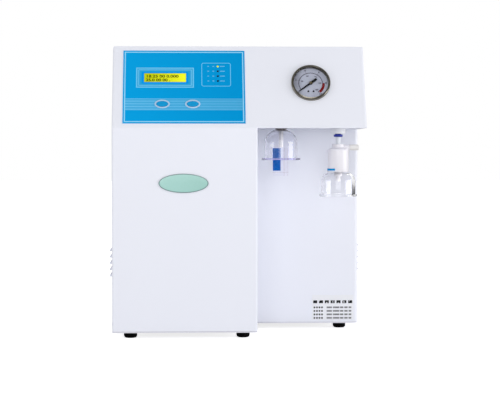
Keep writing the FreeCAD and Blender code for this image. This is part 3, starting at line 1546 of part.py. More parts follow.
def mains_inlet():
    """The appliance inlet and the rocker switch above it, in one rear module."""
    x, z = inlet_x, inlet_z
    plate = box(x - inlet_flange_width * 0.5, back, z - inlet_flange_height * 0.5,
                inlet_flange_width, inlet_flange, inlet_flange_height)
    body = box(x - inlet_body_width * 0.5, back - inlet_body_depth, z - inlet_body_height * 0.5,
               inlet_body_width, inlet_body_depth, inlet_body_height)
    face = back + inlet_flange
    socket_z = z - inlet_socket_drop
    floor = face - inlet_socket_depth
    cavity = box(x - inlet_socket_width * 0.5, floor, socket_z - inlet_socket_height * 0.5,
                 inlet_socket_width, inlet_socket_depth, inlet_socket_height)
    pin_places = ((-pin_spread, -pin_height), (0, 0), (pin_spread, -pin_height))
    pins = [box(x + dx - pin_width * 0.5, floor, socket_z + dz, pin_width, pin_length, pin_height)
            for dx, dz in pin_places]
    pivot_y = face + rocker_stand - rocker_depth * 0.5
    rocker_z = z + rocker_rise
    window = box(x - rocker_width * 0.5 - rocker_gap, pivot_y - rocker_depth,
                 rocker_z - rocker_height * 0.5 - rocker_gap,
                 rocker_width + rocker_gap * 2, rocker_depth * 2, rocker_height + rocker_gap * 2)
    pin_reach = rocker_width + rocker_gap * 4
    bearings = rod(x - pin_reach * 0.5, pivot_y, rocker_z, rocker_pin_radius + running_clearance,
                   pin_reach, "x")
    piece("mains_inlet", fuse(cut(fuse(plate, body), cavity, window, bearings), *pins))
    local = Frame((x, pivot_y, rocker_z), (1, 0, 0), rocker_tilt)
    cap = box(-rocker_width * 0.5, -rocker_depth * 0.5, -rocker_height * 0.5,
              rocker_width, rocker_depth, rocker_height, local)
    axle_reach = pin_reach - rocker_gap * 0.5
    axle = rod(-axle_reach * 0.5, 0, 0, rocker_pin_radius, axle_reach, "x", local)
    piece("mains_rocker", fuse(cap, axle))


# ---------------------------------------------------------------- build, check and write

for make in (front_cover, side_panels, top_cover, rear_panel, base_tray, bay_panels, feet, case_screws,
             badge_and_card, fascia_pieces, gauge_shells, gauge_pointer, gauge_sector, gauge_movement,
             bourdon_tube, gauge_clamp, bulkhead_nuts, left_outlet, tags, right_outlet, vessels, rear_ports,
             feed_valve, booster_pump, line_fittings, water_tubing, electrics, mains_inlet):
    make()
doc.recompute()

faults = [f"{made.Label}: {made.State}" for made in doc.Objects if {"Invalid", "Error"} & set(made.State)]
for made in PIECES:
    if made.Shape.isNull() or not made.Shape.isValid() or not made.Shape.Solids:
        faults.append(f"{made.Label}: no valid shape")
if faults:
    raise RuntimeError("\n".join(faults))

os.makedirs("parts", exist_ok=True)
for made in PIECES:
    made.Shape.exportStep(os.path.join("parts", f"{made.Label}.step"))
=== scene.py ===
"""Dresses the bench-top water purifier: its finishes, the turned and moulded pieces, the studio and the camera."""
import math

import bpy
from mathutils import Matrix, Vector


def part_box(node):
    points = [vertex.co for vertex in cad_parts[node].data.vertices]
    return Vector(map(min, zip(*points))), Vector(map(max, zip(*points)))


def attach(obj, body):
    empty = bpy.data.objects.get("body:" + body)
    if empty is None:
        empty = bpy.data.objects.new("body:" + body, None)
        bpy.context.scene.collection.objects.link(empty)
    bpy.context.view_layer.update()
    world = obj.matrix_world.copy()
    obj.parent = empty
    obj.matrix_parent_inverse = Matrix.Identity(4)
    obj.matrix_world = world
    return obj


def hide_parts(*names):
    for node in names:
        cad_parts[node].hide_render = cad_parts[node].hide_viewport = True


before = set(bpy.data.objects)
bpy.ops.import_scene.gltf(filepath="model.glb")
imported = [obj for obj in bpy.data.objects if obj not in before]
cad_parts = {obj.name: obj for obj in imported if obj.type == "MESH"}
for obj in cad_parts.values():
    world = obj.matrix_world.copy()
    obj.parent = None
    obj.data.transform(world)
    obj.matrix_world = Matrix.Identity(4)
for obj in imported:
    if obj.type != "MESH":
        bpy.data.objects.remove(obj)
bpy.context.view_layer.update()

MM = 0.001
SIDES = 96
NOWHERE = -1000

# ---------------------------------------------------------------- places taken from the solids, in millimetres


def corners(node):
    """A solid's lowest and highest corners in millimetres."""
    low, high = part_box(node)
    return Vector(low) / MM, Vector(high) / MM


def middle(node):
    low, high = corners(node)
    return (low + high) / 2


front = corners("front_cover")[0].y
bend = corners("head_floor")[0].z
back = corners("top_cover")[1].y
nozzle_x, tap_y = middle("outlet_nozzle").xy
filter_x = middle("outlet_tube").x
capsule_low = corners("filter_bell")[1].z - bend
badge_centre = middle("oval_badge")
card_low = corners("service_card")[0]
foot_inset, corner_foot, middle_foot, bay_foot = 28, 172, 6, 168
slope_angle = 26

# On the fascia: across from the machine's middle and up the slope from the bend. Areas are left, right, low, high.
film_area = (-183.3, 9.3, 7.5, 137.6)
display_frame = (-162.7, -71.5, 70.7, 106.7)
display_border = (-153.5, -80.8, 77.9, 99.4)
light_box, light_box_reach = (-36.15, 94.3), (19.85, 17.8)
light_across, lowest_light, light_pitch, light_count = -33.5, 82.8, 8.8, 4
band_low, band_high, rule_pitch = 30.4, 51.4, 4.75
key_up, key_across = 41.5, {"power_key": -121.4, "flush_key": -73.4}
digits_from, digit_rows = -147.3, ((91.2, "18.25 00 0.000", 50), (84.5, "25.0 00 00 .", 38))
gauge_across, gauge_up = 113.7, 79.0
dial_start, dial_sweep, dial_steps = 218, 270, 5


def shift(x, y, z):
    return Matrix.Translation((x * MM, y * MM, z * MM))


def turn(degrees, axis):
    return Matrix.Rotation(math.radians(degrees), 4, axis)


WORLD = Matrix.Identity(4)
PANEL = shift(0, front, bend) @ turn(-slope_angle, "X") @ turn(90, "X")  # X right, Y up the slope, Z out
GAUGE = PANEL @ shift(gauge_across, gauge_up, 0)
NOZZLE = shift(nozzle_x, tap_y, bend)
FILTER = shift(filter_x, tap_y, bend)
CAPSULE = FILTER @ shift(0, 0, capsule_low)


# ---------------------------------------------------------------- materials

def rgb(red, green, blue):
    """A colour as a paint chart gives it, made linear."""
    return tuple(c / 3294.6 if c < 11 else ((c / 255 + 0.055) / 1.055) ** 2.4 for c in (red, green, blue)) + (1,)


def shade(colour, share):
    return tuple(c * share for c in colour[:3]) + (1,)


class Signal:
    """A value inside a finish. Arithmetic on signals becomes Math nodes."""

    def __init__(self, finish, socket):
        self.finish = finish
        self.socket = socket

    def maths(self, operation, *values):
        return self.finish.node("ShaderNodeMath", {"operation": operation}, dict(enumerate(values)))

    def __add__(self, other):
        return self.maths("ADD", self, other)

    def __radd__(self, other):
        return self.maths("ADD", other, self)

    def __sub__(self, other):
        return self.maths("SUBTRACT", self, other)

    def __rsub__(self, other):
        return self.maths("SUBTRACT", other, self)

    def __mul__(self, other):
        return self.maths("MULTIPLY", self, other)

    def __pow__(self, other):
        return self.maths("POWER", self, other)

    def __gt__(self, other):
        return self.maths("GREATER_THAN", self, other)

    def __lt__(self, other):
        return self.maths("LESS_THAN", self, other)

    def __abs__(self):
        return self.maths("ABSOLUTE", self)

    def between(self, low, high):
        return (self > low) * (self < high)

    def repeating(self, pitch):
        """How far a place lies past the last of many lines, a pitch apart."""
        return self.maths("FLOORED_MODULO", self, pitch)

    def wave(self, per_mm):
        """From 0 to 1 and back, over and over."""
        angle = self * per_mm
        return angle.maths("SINE", angle) * 0.5 + 0.5

    def least(self, other):
        return self.maths("MINIMUM", self, other)

    def largest(self, other):
        return self.maths("MAXIMUM", self, other)

    def clipped(self):
        return self.largest(0.0).least(1.0)


class Finish:
    """A material under construction: a Principled shader whose varying inputs are fed with signals."""

    def __init__(self, name, **constants):
        self.material = bpy.data.materials.new(name)
        self.material.use_nodes = True
        self.tree = self.material.node_tree
        self.shader = self.tree.nodes["Principled BSDF"]
        self.feed(self.shader, constants)

    def feed(self, node, values):
        for key, value in values.items():
            socket = node.inputs[key.replace("_", " ") if isinstance(key, str) else key]
            if isinstance(value, Signal):
                self.tree.links.new(value.socket, socket)
            else:
                socket.default_value = value

    def node(self, kind, settings, values, output=0):
        made = self.tree.nodes.new(kind)
        for key, value in settings.items():
            setattr(made, key, value)
        self.feed(made, values)
        return Signal(self, made.outputs[output])

    def set(self, **values):
        self.feed(self.shader, values)
        return self

    def place(self, matrix=WORLD):
        """Object coordinates in millimetres, as x, y and z of a flat frame."""
        point = self.node("ShaderNodeTexCoord", {}, {}, "Object")
        inverse = matrix.inverted()
        point = self.node("ShaderNodeMapping", {}, {
            "Vector": point, "Location": inverse.translation, "Rotation": inverse.to_euler()})
        axes = self.node("ShaderNodeSeparateXYZ", {}, {"Vector": point}).socket.node.outputs
        return tuple(Signal(self, axes[i]) * 1000 for i in range(3))

    def noise(self, scale, stretch=(1, 1, 1), detail=3.0):
        point = self.node("ShaderNodeTexCoord", {}, {}, "Object")
        point = self.node("ShaderNodeMapping", {}, {"Vector": point, "Scale": stretch})
        return self.node("ShaderNodeTexNoise", {}, {"Vector": point, "Scale": scale, "Detail": detail})

    def mix(self, share, first, second):
        return self.node("ShaderNodeMix", {"data_type": "RGBA"}, {0: share, 6: first, 7: second}, 2)

    def bump(self, height, strength, depth=0.0002):
        return self.node("ShaderNodeBump", {}, {"Strength": strength, "Distance": depth, "Height": height})


def total(signals):
    first, *rest = signals
    for signal in rest:
        first = first + signal
    return first


def powder_coat(name, colour):
    """Baked powder coat: even, satin, with a fine orange peel."""
    f = Finish(name, Specular_IOR_Level=0.35)
    cloud, peel = f.noise(5), f.noise(700, detail=2.0)
    return f.set(Base_Color=f.mix(cloud, shade(colour, 0.985), colour), Roughness=0.38 + peel * 0.12,
                 Normal=f.bump(peel, 0.05))


def moulding(name, colour, roughness=0.35, grain_scale=1400, depth=0.05, **constants):
    """Injection-moulded plastic with a fine grain and a faint cloud."""
    f = Finish(name, **constants)
    cloud, grain = f.noise(25), f.noise(grain_scale)
    return f.set(Base_Color=f.mix(cloud, shade(colour, 0.94), colour), Roughness=roughness + grain * 0.15,
                 Normal=f.bump(grain, depth))


def rubber(name, colour):
    """Matt rubber with a trace of dust."""
    f = Finish(name, Specular_IOR_Level=0.15)
    dust, grain = f.noise(60), f.noise(1800)
    return f.set(Base_Color=f.mix(dust * 0.35, colour, rgb(24, 24, 27)), Roughness=0.7 + grain * 0.2,
                 Normal=f.bump(grain, 0.25))


def metal(name, colour, roughness, stretch=(1, 1, 1), scale=500):
    """Bare or plated metal; stretch draws the grain out into brush or turning lines."""
    f = Finish(name, Metallic=1.0)
    cloud, lines = f.noise(18), f.noise(scale, stretch)
    return f.set(Base_Color=f.mix(cloud, shade(colour, 0.88), colour), Roughness=roughness + lines * 0.14,
                 Normal=f.bump(lines, 0.08))


def clear(name, tint, bend_of_light=1.39, rim_tint=None, rim_top=NOWHERE, plain_top=-NOWHERE):
    """Clear plastic that bends what is seen through it and lets the lamps' rays pass. It has another tint up to
    rim_top, and bends nothing above plain_top."""
    f = Finish(name, Transmission_Weight=1.0, IOR=bend_of_light, Specular_IOR_Level=0.6)
    haze, (_, _, z) = f.noise(40), f.place()
    body = f.mix(haze, shade(tint, 0.995), tint)
    f.set(Base_Color=f.mix(z < rim_top, body, rim_tint or tint), Roughness=0.02 + haze * 0.02)
    lamp_ray = f.node("ShaderNodeLightPath", {}, {}, "Is Shadow Ray")
    passing = f.node("ShaderNodeBsdfTransparent", {}, {"Color": tint})
    both = f.node("ShaderNodeMixShader", {}, {
        0: lamp_ray.largest(z > plain_top), 1: Signal(f, f.shader.outputs[0]), 2: passing})
    f.tree.links.new(both.socket, f.tree.nodes["Material Output"].inputs["Surface"])
    return f


def leaf(name):
    """The clear tag: a thin sheet with two faint red rules down its right side and one across."""
    f = Finish(name, Roughness=0.2)
    x, _, z = f.place(shift(nozzle_x, 0, bend))
    left_rule, right_rule, low_rule = x.between(3.2, 3.9), x.between(8.3, 8.9), z.between(-70.2, -69.6)
    rules = (left_rule + right_rule + low_rule).clipped()
    f.set(Base_Color=f.mix(rules, rgb(226, 230, 242), rgb(226, 178, 188)))
    share = f.noise(60) * 0.02 + rules * 0.2
    passing = f.node("ShaderNodeBsdfTransparent", {}, {"Color": (0.985, 0.985, 1, 1)})
    both = f.node("ShaderNodeMixShader", {}, {0: share, 1: passing, 2: Signal(f, f.shader.outputs[0])})
    f.tree.links.new(both.socket, f.tree.nodes["Material Output"].inputs["Surface"])
    return f


def board(name):
    """Green lacquered board with pale tracks."""
    f = Finish(name, Coat_Weight=0.4)
    tracks = f.node("ShaderNodeTexBrick", {}, {"Scale": 120.0, "Mortar Size": 0.03}, 1)
    grain = f.noise(400)
    green = f.mix(grain, rgb(10, 74, 42), rgb(16, 92, 54))
    return f.set(Base_Color=f.mix(tracks * 0.5, green, rgb(60, 140, 90)), Roughness=0.3 + grain * 0.2)


def overlay_print(name):
    """The blue film: frames round the display, a box round the lights, and the striped band under the keys."""
    f = Finish(name, Specular_IOR_Level=0.02)
    across, up, _ = f.place(PANEL)
    rightward = ((across + 183) * (1 / 192)).clipped()
    pale, line, frame_blue, deep = rgb(150, 214, 244), rgb(112, 200, 240), rgb(74, 174, 222), rgb(0, 148, 236)

    def inward(left, right, low, high):
        """How far a point lies inside a rectangle; below zero outside it."""
        return (((right - left) / 2 - abs(across - (left + right) / 2))
                .least((high - low) / 2 - abs(up - (low + high) / 2)))

    line_from, line_to = 2.2, 3.8
    edge = inward(*film_area)
    ground = f.mix(rightward, rgb(6, 160, 226), rgb(2, 147, 211))
    ground = f.mix(edge.between(line_from, line_to), ground, pale)

    band = up.between(band_low, band_high) * (edge > line_to)
    rules = ((up - 31.6).repeating(rule_pitch) < 1.5) * (0.9 - rightward * 0.65)
    striped = f.mix(rules, f.mix(rightward, rgb(72, 174, 226), rgb(68, 164, 213)), rgb(112, 198, 240))
    ground = f.mix(band, ground, striped)

    ring = inward(*display_frame)
    thinning = (ring - 1.5).clipped() * (ring * 0.1).clipped()
    ground = f.mix((ring > 0) * (1 - thinning), ground, frame_blue)
    for ring_from, ring_to in ((0.0, 1.5), (3.6, 4.6)):
        ground = f.mix(ring.between(ring_from, ring_to), ground, line)
    ground = f.mix(inward(*display_border) > 0, ground, deep)

    past_across, past_up = [(abs(way - centre) - reach).largest(0.0)
                            for way, centre, reach in zip((across, up), light_box, light_box_reach)]
    ground = f.mix(((past_across ** 2 + past_up ** 2) ** 0.5).between(2.4, 3.4), ground, line)
    marks = across.between(-50.0, -47.4) + across.between(-42.0, -39.2) + across.between(-30.0, -22.5)
    rows = total([(abs(up - lowest_light - light_pitch * i) < 0.75) for i in range(light_count)])
    ground = f.mix(marks * rows * 0.5, ground, pale)
    grain = f.noise(1100)
    return f.set(Base_Color=ground, Roughness=0.4 + grain * 0.1, Normal=f.bump(grain, 0.04))


def display_face(name):
    """Yellow-green backlit glass that pales towards the right."""
    f = Finish(name, Emission_Strength=0.22, Specular_IOR_Level=0.1)
    across, up, _ = f.place(PANEL)
    rightward = ((across + 152) * (1 / 70)).clipped()
    glow = f.mix(rightward ** 1.6, rgb(180, 190, 6), rgb(238, 240, 40))
    cells = (1 - across.wave(2.9)) * up.wave(1.6)
    lit = f.mix(cells * 0.05, glow, rgb(120, 130, 10))
    return f.set(Base_Color=lit, Emission_Color=lit, Roughness=0.25 + f.noise(500) * 0.05)


def dial_print(name):
    """The grey dial: a scale ring with ticks, and the red arc at its end."""
    f = Finish(name, Specular_IOR_Level=0.05)
    across, up, _ = f.place(GAUGE)
    radius = (across ** 2 + up ** 2) ** 0.5
    swept = (dial_start - up.maths("ARCTAN2", up, across) * (180 / math.pi)).repeating(360.0)
    step = dial_sweep / dial_steps
    fine = ((swept + 0.6).repeating(step / 10) < 1.2) * radius.between(18.2, 20.2)
    coarse = ((swept + 1.0).repeating(step) < 2.0) * radius.between(17.6, 21.4)
    ink = ((fine + coarse + radius.between(18.2, 19.4)) * (swept < dial_sweep + 0.6)).clipped()
    red = radius.between(18.6, 22.6) * swept.between(dial_sweep * 0.8, dial_sweep - 5)
    cloud = f.noise(70)
    paper = f.mix(cloud, rgb(156, 160, 174), rgb(168, 172, 186))
    shadow_of_ring = ((-13 - across) * 0.08).clipped() * 0.6
    paper = f.mix(shadow_of_ring, paper, rgb(84, 84, 92))
    face = f.mix(ink * 0.9, paper, rgb(48, 44, 58))
    return f.set(Base_Color=f.mix(red, face, rgb(110, 0, 0)), Roughness=0.45 + cloud * 0.1)


def card_print(name):
    """White card with plain ruled rows of dashes."""
    f = Finish(name, Specular_IOR_Level=0.3)
    x, _, z = f.place(shift(card_low.x, 0, card_low.z))
    grain = f.noise(700)
    rows = total([abs(z - up) < 1.4 for up in (20.3, 14.4, 8.6, 2.8)])
    dots = ((x - 2.4).repeating(4.2) < 2.6) * x.between(2.4, 18.2)
    dashes = (f.noise(420, (1, 1, 0), 0.0) > 0.43) * x.between(24.0, 65.0)
    blocks = ((x - 1.5).repeating(9.7) < 6.8) * (f.noise(330, (1, 1, 1), 1.0) > 0.36)
    heading = (abs(z - 29.6) < 2.4) * blocks * x.between(1.5, 66.8)
    ink = (rows * (dots + dashes * 0.75) + heading).clipped()
    white = f.mix(grain, rgb(232, 233, 238), rgb(236, 237, 242))
    return f.set(Base_Color=f.mix(ink, white, rgb(14, 14, 20)), Roughness=0.5 + grain * 0.1)


def tag_print(name):
    """The tag's two blue squares, with a pale line between them and a pale border below and at the right, and the
    lighter label on the capsule, pale at its right end."""
    f = Finish(name, Specular_IOR_Level=0.05)
    x, _, z = f.place(shift(nozzle_x, 0, bend))
    blotch = f.noise(130)
    on_capsule = x > 40
    blue = f.mix(on_capsule, f.mix(blotch, rgb(0, 80, 164), rgb(0, 108, 194)), rgb(0, 138, 208))
    gap, low_border, right_border, label_end = (
        z.between(-50.5, -48.7), z.between(-75, -67.4), x.between(-2.0, 1.0), x.between(85.4, 90))
    pale = (gap + low_border + right_border + label_end).clipped()
    return f.set(Base_Color=f.mix(pale, blue, rgb(226, 232, 244)), Roughness=0.35 + blotch * 0.1)


def pleats(name, colour):
    """Folded membrane: fine upright pleats, with painted shade in their valleys."""
    f = Finish(name)
    x, y, _ = f.place(FILTER)
    folds = x.maths("ARCTAN2", x, y).wave(40)
    # The pleats' valleys are painted darker: painted shade in the creases.
    return f.set(Base_Color=f.mix(folds, shade(colour, 0.8), colour), Roughness=0.6 + folds * 0.1,
                 Normal=f.bump(folds, 0.6, 0.0006))


def badge_print(name):
    """Mint enamel with a faint mottle, paler at its left end."""
    f = Finish(name, Coat_Weight=0.2)
    x, _, _ = f.place(shift(badge_centre.x, 0, 0))
    mottle = f.noise(260)
    mint = f.mix(((x + 38) * (1 / 76)).clipped(), rgb(173, 217, 211), rgb(160, 205, 198))
    return f.set(Base_Color=f.mix(mottle * 0.35, mint, rgb(140, 200, 180)), Roughness=0.3 + mottle * 0.1)


coat = powder_coat("white powder coat", rgb(235, 237, 246))
# The base tray's coat is painted darker than the cabinet's white: painted shade along the lip at the cabinet's foot.
shaded_tray_coat = powder_coat("tray coat with painted shade", rgb(226, 226, 234))
foot_rubber = rubber("black rubber", rgb(4, 4, 5))
zinc = metal("bright zinc", rgb(205, 208, 212), 0.25)
stainless = metal("polished stainless", rgb(138, 133, 122), 0.1, (1, 1, 6))
nozzle_steel = moulding("satin nozzle", rgb(228, 226, 229), 0.4)
brass = metal("brass", rgb(150, 124, 84), 0.3)
hub_bronze = metal("bronze hub", rgb(92, 86, 68), 0.35)
strap_steel = metal("zinc strap", rgb(190, 192, 196), 0.3)
cast_steel = metal("machined iron", rgb(120, 120, 124), 0.4)
folded_aluminium = metal("folded aluminium", rgb(196, 198, 202), 0.35, (1, 14, 1))
film = overlay_print("blue printed film")
lcd = display_face("display face")
lcd_ink = moulding("display ink", rgb(64, 66, 6), 0.3, Specular_IOR_Level=0.05)
dial_paint = dial_print("printed dial")
dial_ink = moulding("dial ink", rgb(46, 40, 56), 0.4, Specular_IOR_Level=0.1)
card = card_print("service card")
tag = tag_print("blue tag")
clear_leaf = leaf("clear tag leaf")
badge_face = badge_print("mint badge")
badge_rim = moulding("badge border", rgb(124, 150, 150), 0.3)
key_blue = moulding("key blue", rgb(14, 152, 212), 0.35, Specular_IOR_Level=0.1)
ring_white = moulding("ring white", rgb(174, 208, 236), 0.25)
lit_lens = moulding("lit yellow lens", rgb(222, 228, 4), 0.3, Emission_Color=rgb(230, 236, 0),
                    Emission_Strength=0.35, Specular_IOR_Level=0.1)
dark_lens = moulding("dark lens", rgb(6, 30, 52), 0.2, Specular_IOR_Level=0.2)
black_enamel = moulding("black enamel", rgb(3, 3, 4), 0.5, Specular_IOR_Level=0.05)
black_plastic = moulding("black plastic", rgb(18, 18, 20), 0.35)
nut_grey = moulding("nut grey", rgb(138, 130, 130), 0.4)
grey_plastic = moulding("grey plastic", rgb(140, 143, 148), 0.4)
dark_plastic = moulding("dark grey plastic", rgb(62, 66, 72), 0.4)
white_plastic = moulding("white plastic", rgb(238, 239, 243), 0.3)
vessel_white = moulding("vessel white", rgb(238, 239, 242), 0.3)
beige_plastic = moulding("beige plastic", rgb(228, 226, 224), 0.35)
collet_blue = moulding("collet blue", rgb(10, 40, 150), 0.3)
tube_white = moulding("white tube", rgb(232, 236, 242), 0.3)
capsule_shell = moulding("milky capsule", rgb(236, 234, 240), 0.22)
motor_paint = powder_coat("motor paint", rgb(30, 30, 33))
circuit = board("circuit board")
pleated = pleats("pleated membrane", rgb(240, 240, 240))
bell_violet = clear("clear violet plastic", (0.975, 0.975, 0.998, 1), rim_tint=(0.78, 0.75, 0.95, 1),
                    rim_top=bend - 47.2)
bell_clear = clear("clear plastic", (0.995, 0.995, 1, 1), rim_tint=(0.98, 0.98, 0.99, 1),
                   rim_top=capsule_low + bend - 35.2, plain_top=capsule_low + bend - 1.9)
lens_glass = clear("gauge glass", (0.97, 0.97, 0.98, 1), 1.12)

FINISHES = {
    coat: ["front_cover", "left_side_panel", "right_side_panel", "top_cover", "rear_panel", "bay_side_wall",
           "bay_back_panel", "head_floor"],
    shaded_tray_coat: ["base_tray"],
    foot_rubber: ["rubber_feet"],
    zinc: ["case_screws", "pump_cradle"],
    badge_rim: ["oval_badge"],
    card: ["service_card"],
    film: ["keypad_overlay"],
    lcd: ["display_window"],
    dark_plastic: ["display_module", "pump_head"],
    dark_lens: ["indicator_leds"],
    key_blue: ["power_key", "flush_key"],
    ring_white: ["key_rings"],
    circuit: ["control_board"],
    stainless: ["gauge_case", "gauge_ring"],
    lens_glass: ["gauge_lens"],
    dial_paint: ["gauge_dial"],
    black_enamel: ["gauge_pointer"],
    brass: ["gauge_sector", "gauge_movement", "bourdon_tube"],
    strap_steel: ["gauge_clamp"],
    nut_grey: ["bulkhead_nuts"],
    black_plastic: ["feed_valve", "mains_inlet", "mains_rocker", "wires"],
    nozzle_steel: ["outlet_nozzle"],
    bell_violet: ["nozzle_bell"],
    bell_clear: ["filter_bell"],
    tag: ["outlet_tags"],
    clear_leaf: ["tag_film"],
    white_plastic: ["outlet_fitting", "line_fittings", "rear_ports"],
    collet_blue: ["outlet_collet"],
    tube_white: ["outlet_tube", "water_tubing"],
    capsule_shell: ["filter_capsule"],
    pleated: ["filter_membrane", "osmosis_membrane"],
    beige_plastic: ["vent_cap"],
    motor_paint: ["pump_motor"],
    cast_steel: ["pump_rotor", "valve_plunger"],
    vessel_white: ["osmosis_housing", "polishing_cartridges", "prefilter"],
    grey_plastic: ["vessel_clips"],
    folded_aluminium: ["power_supply"],
}
for finish, nodes in FINISHES.items():
    for node in nodes:
        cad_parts[node].data.materials.clear()
        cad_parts[node].data.materials.append(finish.material)


# ---------------------------------------------------------------- modelling

def choose(made):
    bpy.ops.object.select_all(action="DESELECT")
    made.select_set(True)
    bpy.context.view_layer.objects.active = made


def begin(name, add, **settings):
    """Adds a primitive with nothing else selected and opens it for editing."""
    bpy.ops.object.select_all(action="DESELECT")
    add(**settings)
    made = bpy.context.active_object
    made.name = made.data.name = name
    bpy.ops.object.transform_apply(location=True, rotation=True, scale=True)
    bpy.ops.object.mode_set(mode="EDIT")
    bpy.ops.mesh.select_all(action="SELECT")
    return made


def grow(rise, across=(1, 1), height=0.0):
    """Draws the selection out by rise and resizes it round the axis, at a height."""
    bpy.ops.mesh.extrude_region_move(TRANSFORM_OT_translate={"value": (0, 0, rise * MM)})
    if across != (1, 1):
        bpy.ops.transform.resize(value=(*across, 1), center_override=(0, 0, height * MM))


def lathe(name, outline, closed=False, sides=SIDES):
    """Turns (radius, height) points round Z: solid from its axis, or a ring whose outline closes on itself."""
    (radius, height), *rest = outline
    made = begin(name, bpy.ops.mesh.primitive_circle_add, vertices=sides, radius=radius * MM,
                 location=(0, 0, height * MM), fill_type="NOTHING" if closed else "NGON")
    for new_radius, new_height in rest + ([outline[0]] if closed else []):
        grow(new_height - height, (new_radius / radius, new_radius / radius), new_height)
        radius, height = new_radius, new_height
    return made


def arc(x, y, radius, start, end, steps=8):
    """Points of a rounding about (x, y), from one angle to another in degrees."""
    angles = [math.radians(start + (end - start) * i / steps) for i in range(steps + 1)]
    return [(x + radius * math.cos(a), y + radius * math.sin(a)) for a in angles]


def ellipse(name, half_width, half_height, height, fill="NGON"):
    made = begin(name, bpy.ops.mesh.primitive_circle_add, vertices=SIDES, radius=half_width * MM,
                 location=(0, 0, height * MM), fill_type=fill)
    bpy.ops.transform.resize(value=(1, half_height / half_width, 1), center_override=(0, 0, 0))
    return made


def choose_faces(made, outward):
    """Selects the end faces that look outward, furthest along that way."""
    bpy.ops.mesh.select_all(action="DESELECT")
    bpy.ops.object.mode_set(mode="OBJECT")
    far = max(face.center.dot(outward) for face in made.data.polygons)
    for face in made.data.polygons:
        face.select = face.normal.dot(outward) > 0.9 and face.center.dot(outward) > far - 0.01 * MM
    bpy.ops.object.mode_set(mode="EDIT")


def close(made, edge=0.0, angle=35):
    """Merges the doubles, turns the faces outwards, rounds the edges and smooths the piece."""
    bpy.ops.mesh.select_all(action="SELECT")
    bpy.ops.mesh.remove_doubles(threshold=0.000002)
    bpy.ops.mesh.normals_make_consistent(inside=False)
    bpy.ops.object.mode_set(mode="OBJECT")
    choose(made)
    if edge:
        bevel = made.modifiers.new("Rounded edges", "BEVEL")
        bevel.width, bevel.segments, bevel.limit_method = edge * MM, 3, "ANGLE"
        bevel.angle_limit = math.radians(30)
        bpy.ops.object.modifier_apply(modifier=bevel.name)
    bpy.ops.object.shade_smooth_by_angle(angle=math.radians(angle))
    return made


def fit(made, finish, place=WORLD, body="cabinet", stands_for=(), slot=None):
    """Puts a closed piece in its place, gives it its finish and lets it ride on its body."""
    choose(made)
    made.matrix_world = place @ made.matrix_world
    bpy.ops.object.transform_apply(location=True, rotation=True, scale=True)
    made.data.materials.clear()
    made.data.materials.append(finish.material)
    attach(made, body)
    if stands_for:
        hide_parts(*stands_for)
    return made


def copy_of(model, name):
    """A copy with a mesh of its own."""
    choose(model)
    bpy.ops.object.duplicate(linked=False)
    made = bpy.context.active_object
    made.name = made.data.name = name
    return made


def fit_copies(model, finish, places, **settings):
    """Fits a copy at each named place, and throws the model away."""
    for name, place in places.items():
        fit(copy_of(model, name), finish, place, **settings)
    bpy.data.objects.remove(model)


def figures(name, text, size, place, finish, align="CENTER", weight=0.0, width=0.0):
    """Plain digits as a thin print, squeezed to a width if one is given."""
    bpy.ops.object.select_all(action="DESELECT")
    bpy.ops.object.text_add()
    made = bpy.context.active_object
    made.name = name
    made.data.body, made.data.size, made.data.offset = text, size * MM, weight * MM
    made.data.align_x, made.data.align_y = align, "CENTER"
    bpy.ops.object.convert(target="MESH")
    made = bpy.context.active_object
    if width:
        bpy.ops.transform.resize(value=(width * MM / made.dimensions.x, 1, 1), center_override=(0, 0, 0))
    return fit(made, finish, place)


# ---------------------------------------------------------------- fascia

def keys():
    """The two oval key caps, a little crowned, each with its stem."""
    cap = ellipse("key_cap", 9.1, 4.7, -1.6)
    for rise, share, height in ((3.05, 1, 1.45), (0.2, 0.965, 1.65), (0.12, 0.9, 1.77), (0.03, 0.7, 1.8)):
        grow(rise, (share, share), height)
    close(cap)
    for node, x in key_across.items():
        fit(copy_of(cap, f"{node}_cap"), key_blue, PANEL @ shift(x, key_up, 0), node, (node,), "key_blue")
    bpy.data.objects.remove(cap)


def key_rings():
    """The raised oval rings round the keys."""
    ring = ellipse("key_ring", 12, 7.6, 0.6, "NOTHING")
    for rise, across in ((0.55, (1, 1)), (0.28, (0.962, 0.94)), (0.07, (0.93, 0.9)), (-0.07, (0.92, 0.86)),
                         (-0.28, (0.965, 0.945)), (-0.55, (1, 1))):
        grow(rise, across)
    close(ring)
    fit_copies(ring, ring_white, {f"{node}_ring": PANEL @ shift(x, key_up, 0) for node, x in key_across.items()},
               stands_for=("key_rings",), slot="ring_white")


def lights():
    """Four small round-nosed lamps in a column; the top one is lit."""
    lens = close(lathe("lamp", [(0.75, -14), (0.75, -4.4), (1.9, -4.4), (1.9, -3.4), (1.5, -3.4), (1.5, 0.2)]
                       + [(1.5 * c, 0.2 + 0.8 * s) for c, s in ((0.92, 0.39), (0.7, 0.71), (0.41, 0.91), (0.12, 1))],
                       sides=24))
    for i in range(light_count):
        fit(copy_of(lens, f"light_{i + 1}"), lit_lens if i == light_count - 1 else dark_lens,
            PANEL @ shift(light_across, lowest_light + light_pitch * i, 0),
            stands_for=("indicator_leds",), slot="led_yellow")
    bpy.data.objects.remove(lens)


def display_digits():
    """Two rows of plain figures on the display."""
    for i, (up, text, width) in enumerate(digit_rows):
        figures(f"display_row_{i + 1}", text, 6.6, PANEL @ shift(digits_from, up, 0.12), lcd_ink, "LEFT", 0.14, width)


# ---------------------------------------------------------------- pressure gauge

def gauge_ring():
    """The polished ring, with a cone down to its lip over the glass."""
    ring = lathe("gauge_bezel", [
        (28.65, 1.2), (30.8, 1.2), (31.0, 1.4), (31.0, 4.4), (30.85, 4.9), (30.5, 5.25), (28.7, 6.1), (28.3, 6.2),
        (27.95, 6.0), (27.8, 5.6), (27.8, 4.8), (28.65, 4.8)], closed=True)
    fit(close(ring), stainless, GAUGE, stands_for=("gauge_ring",), slot="stainless")


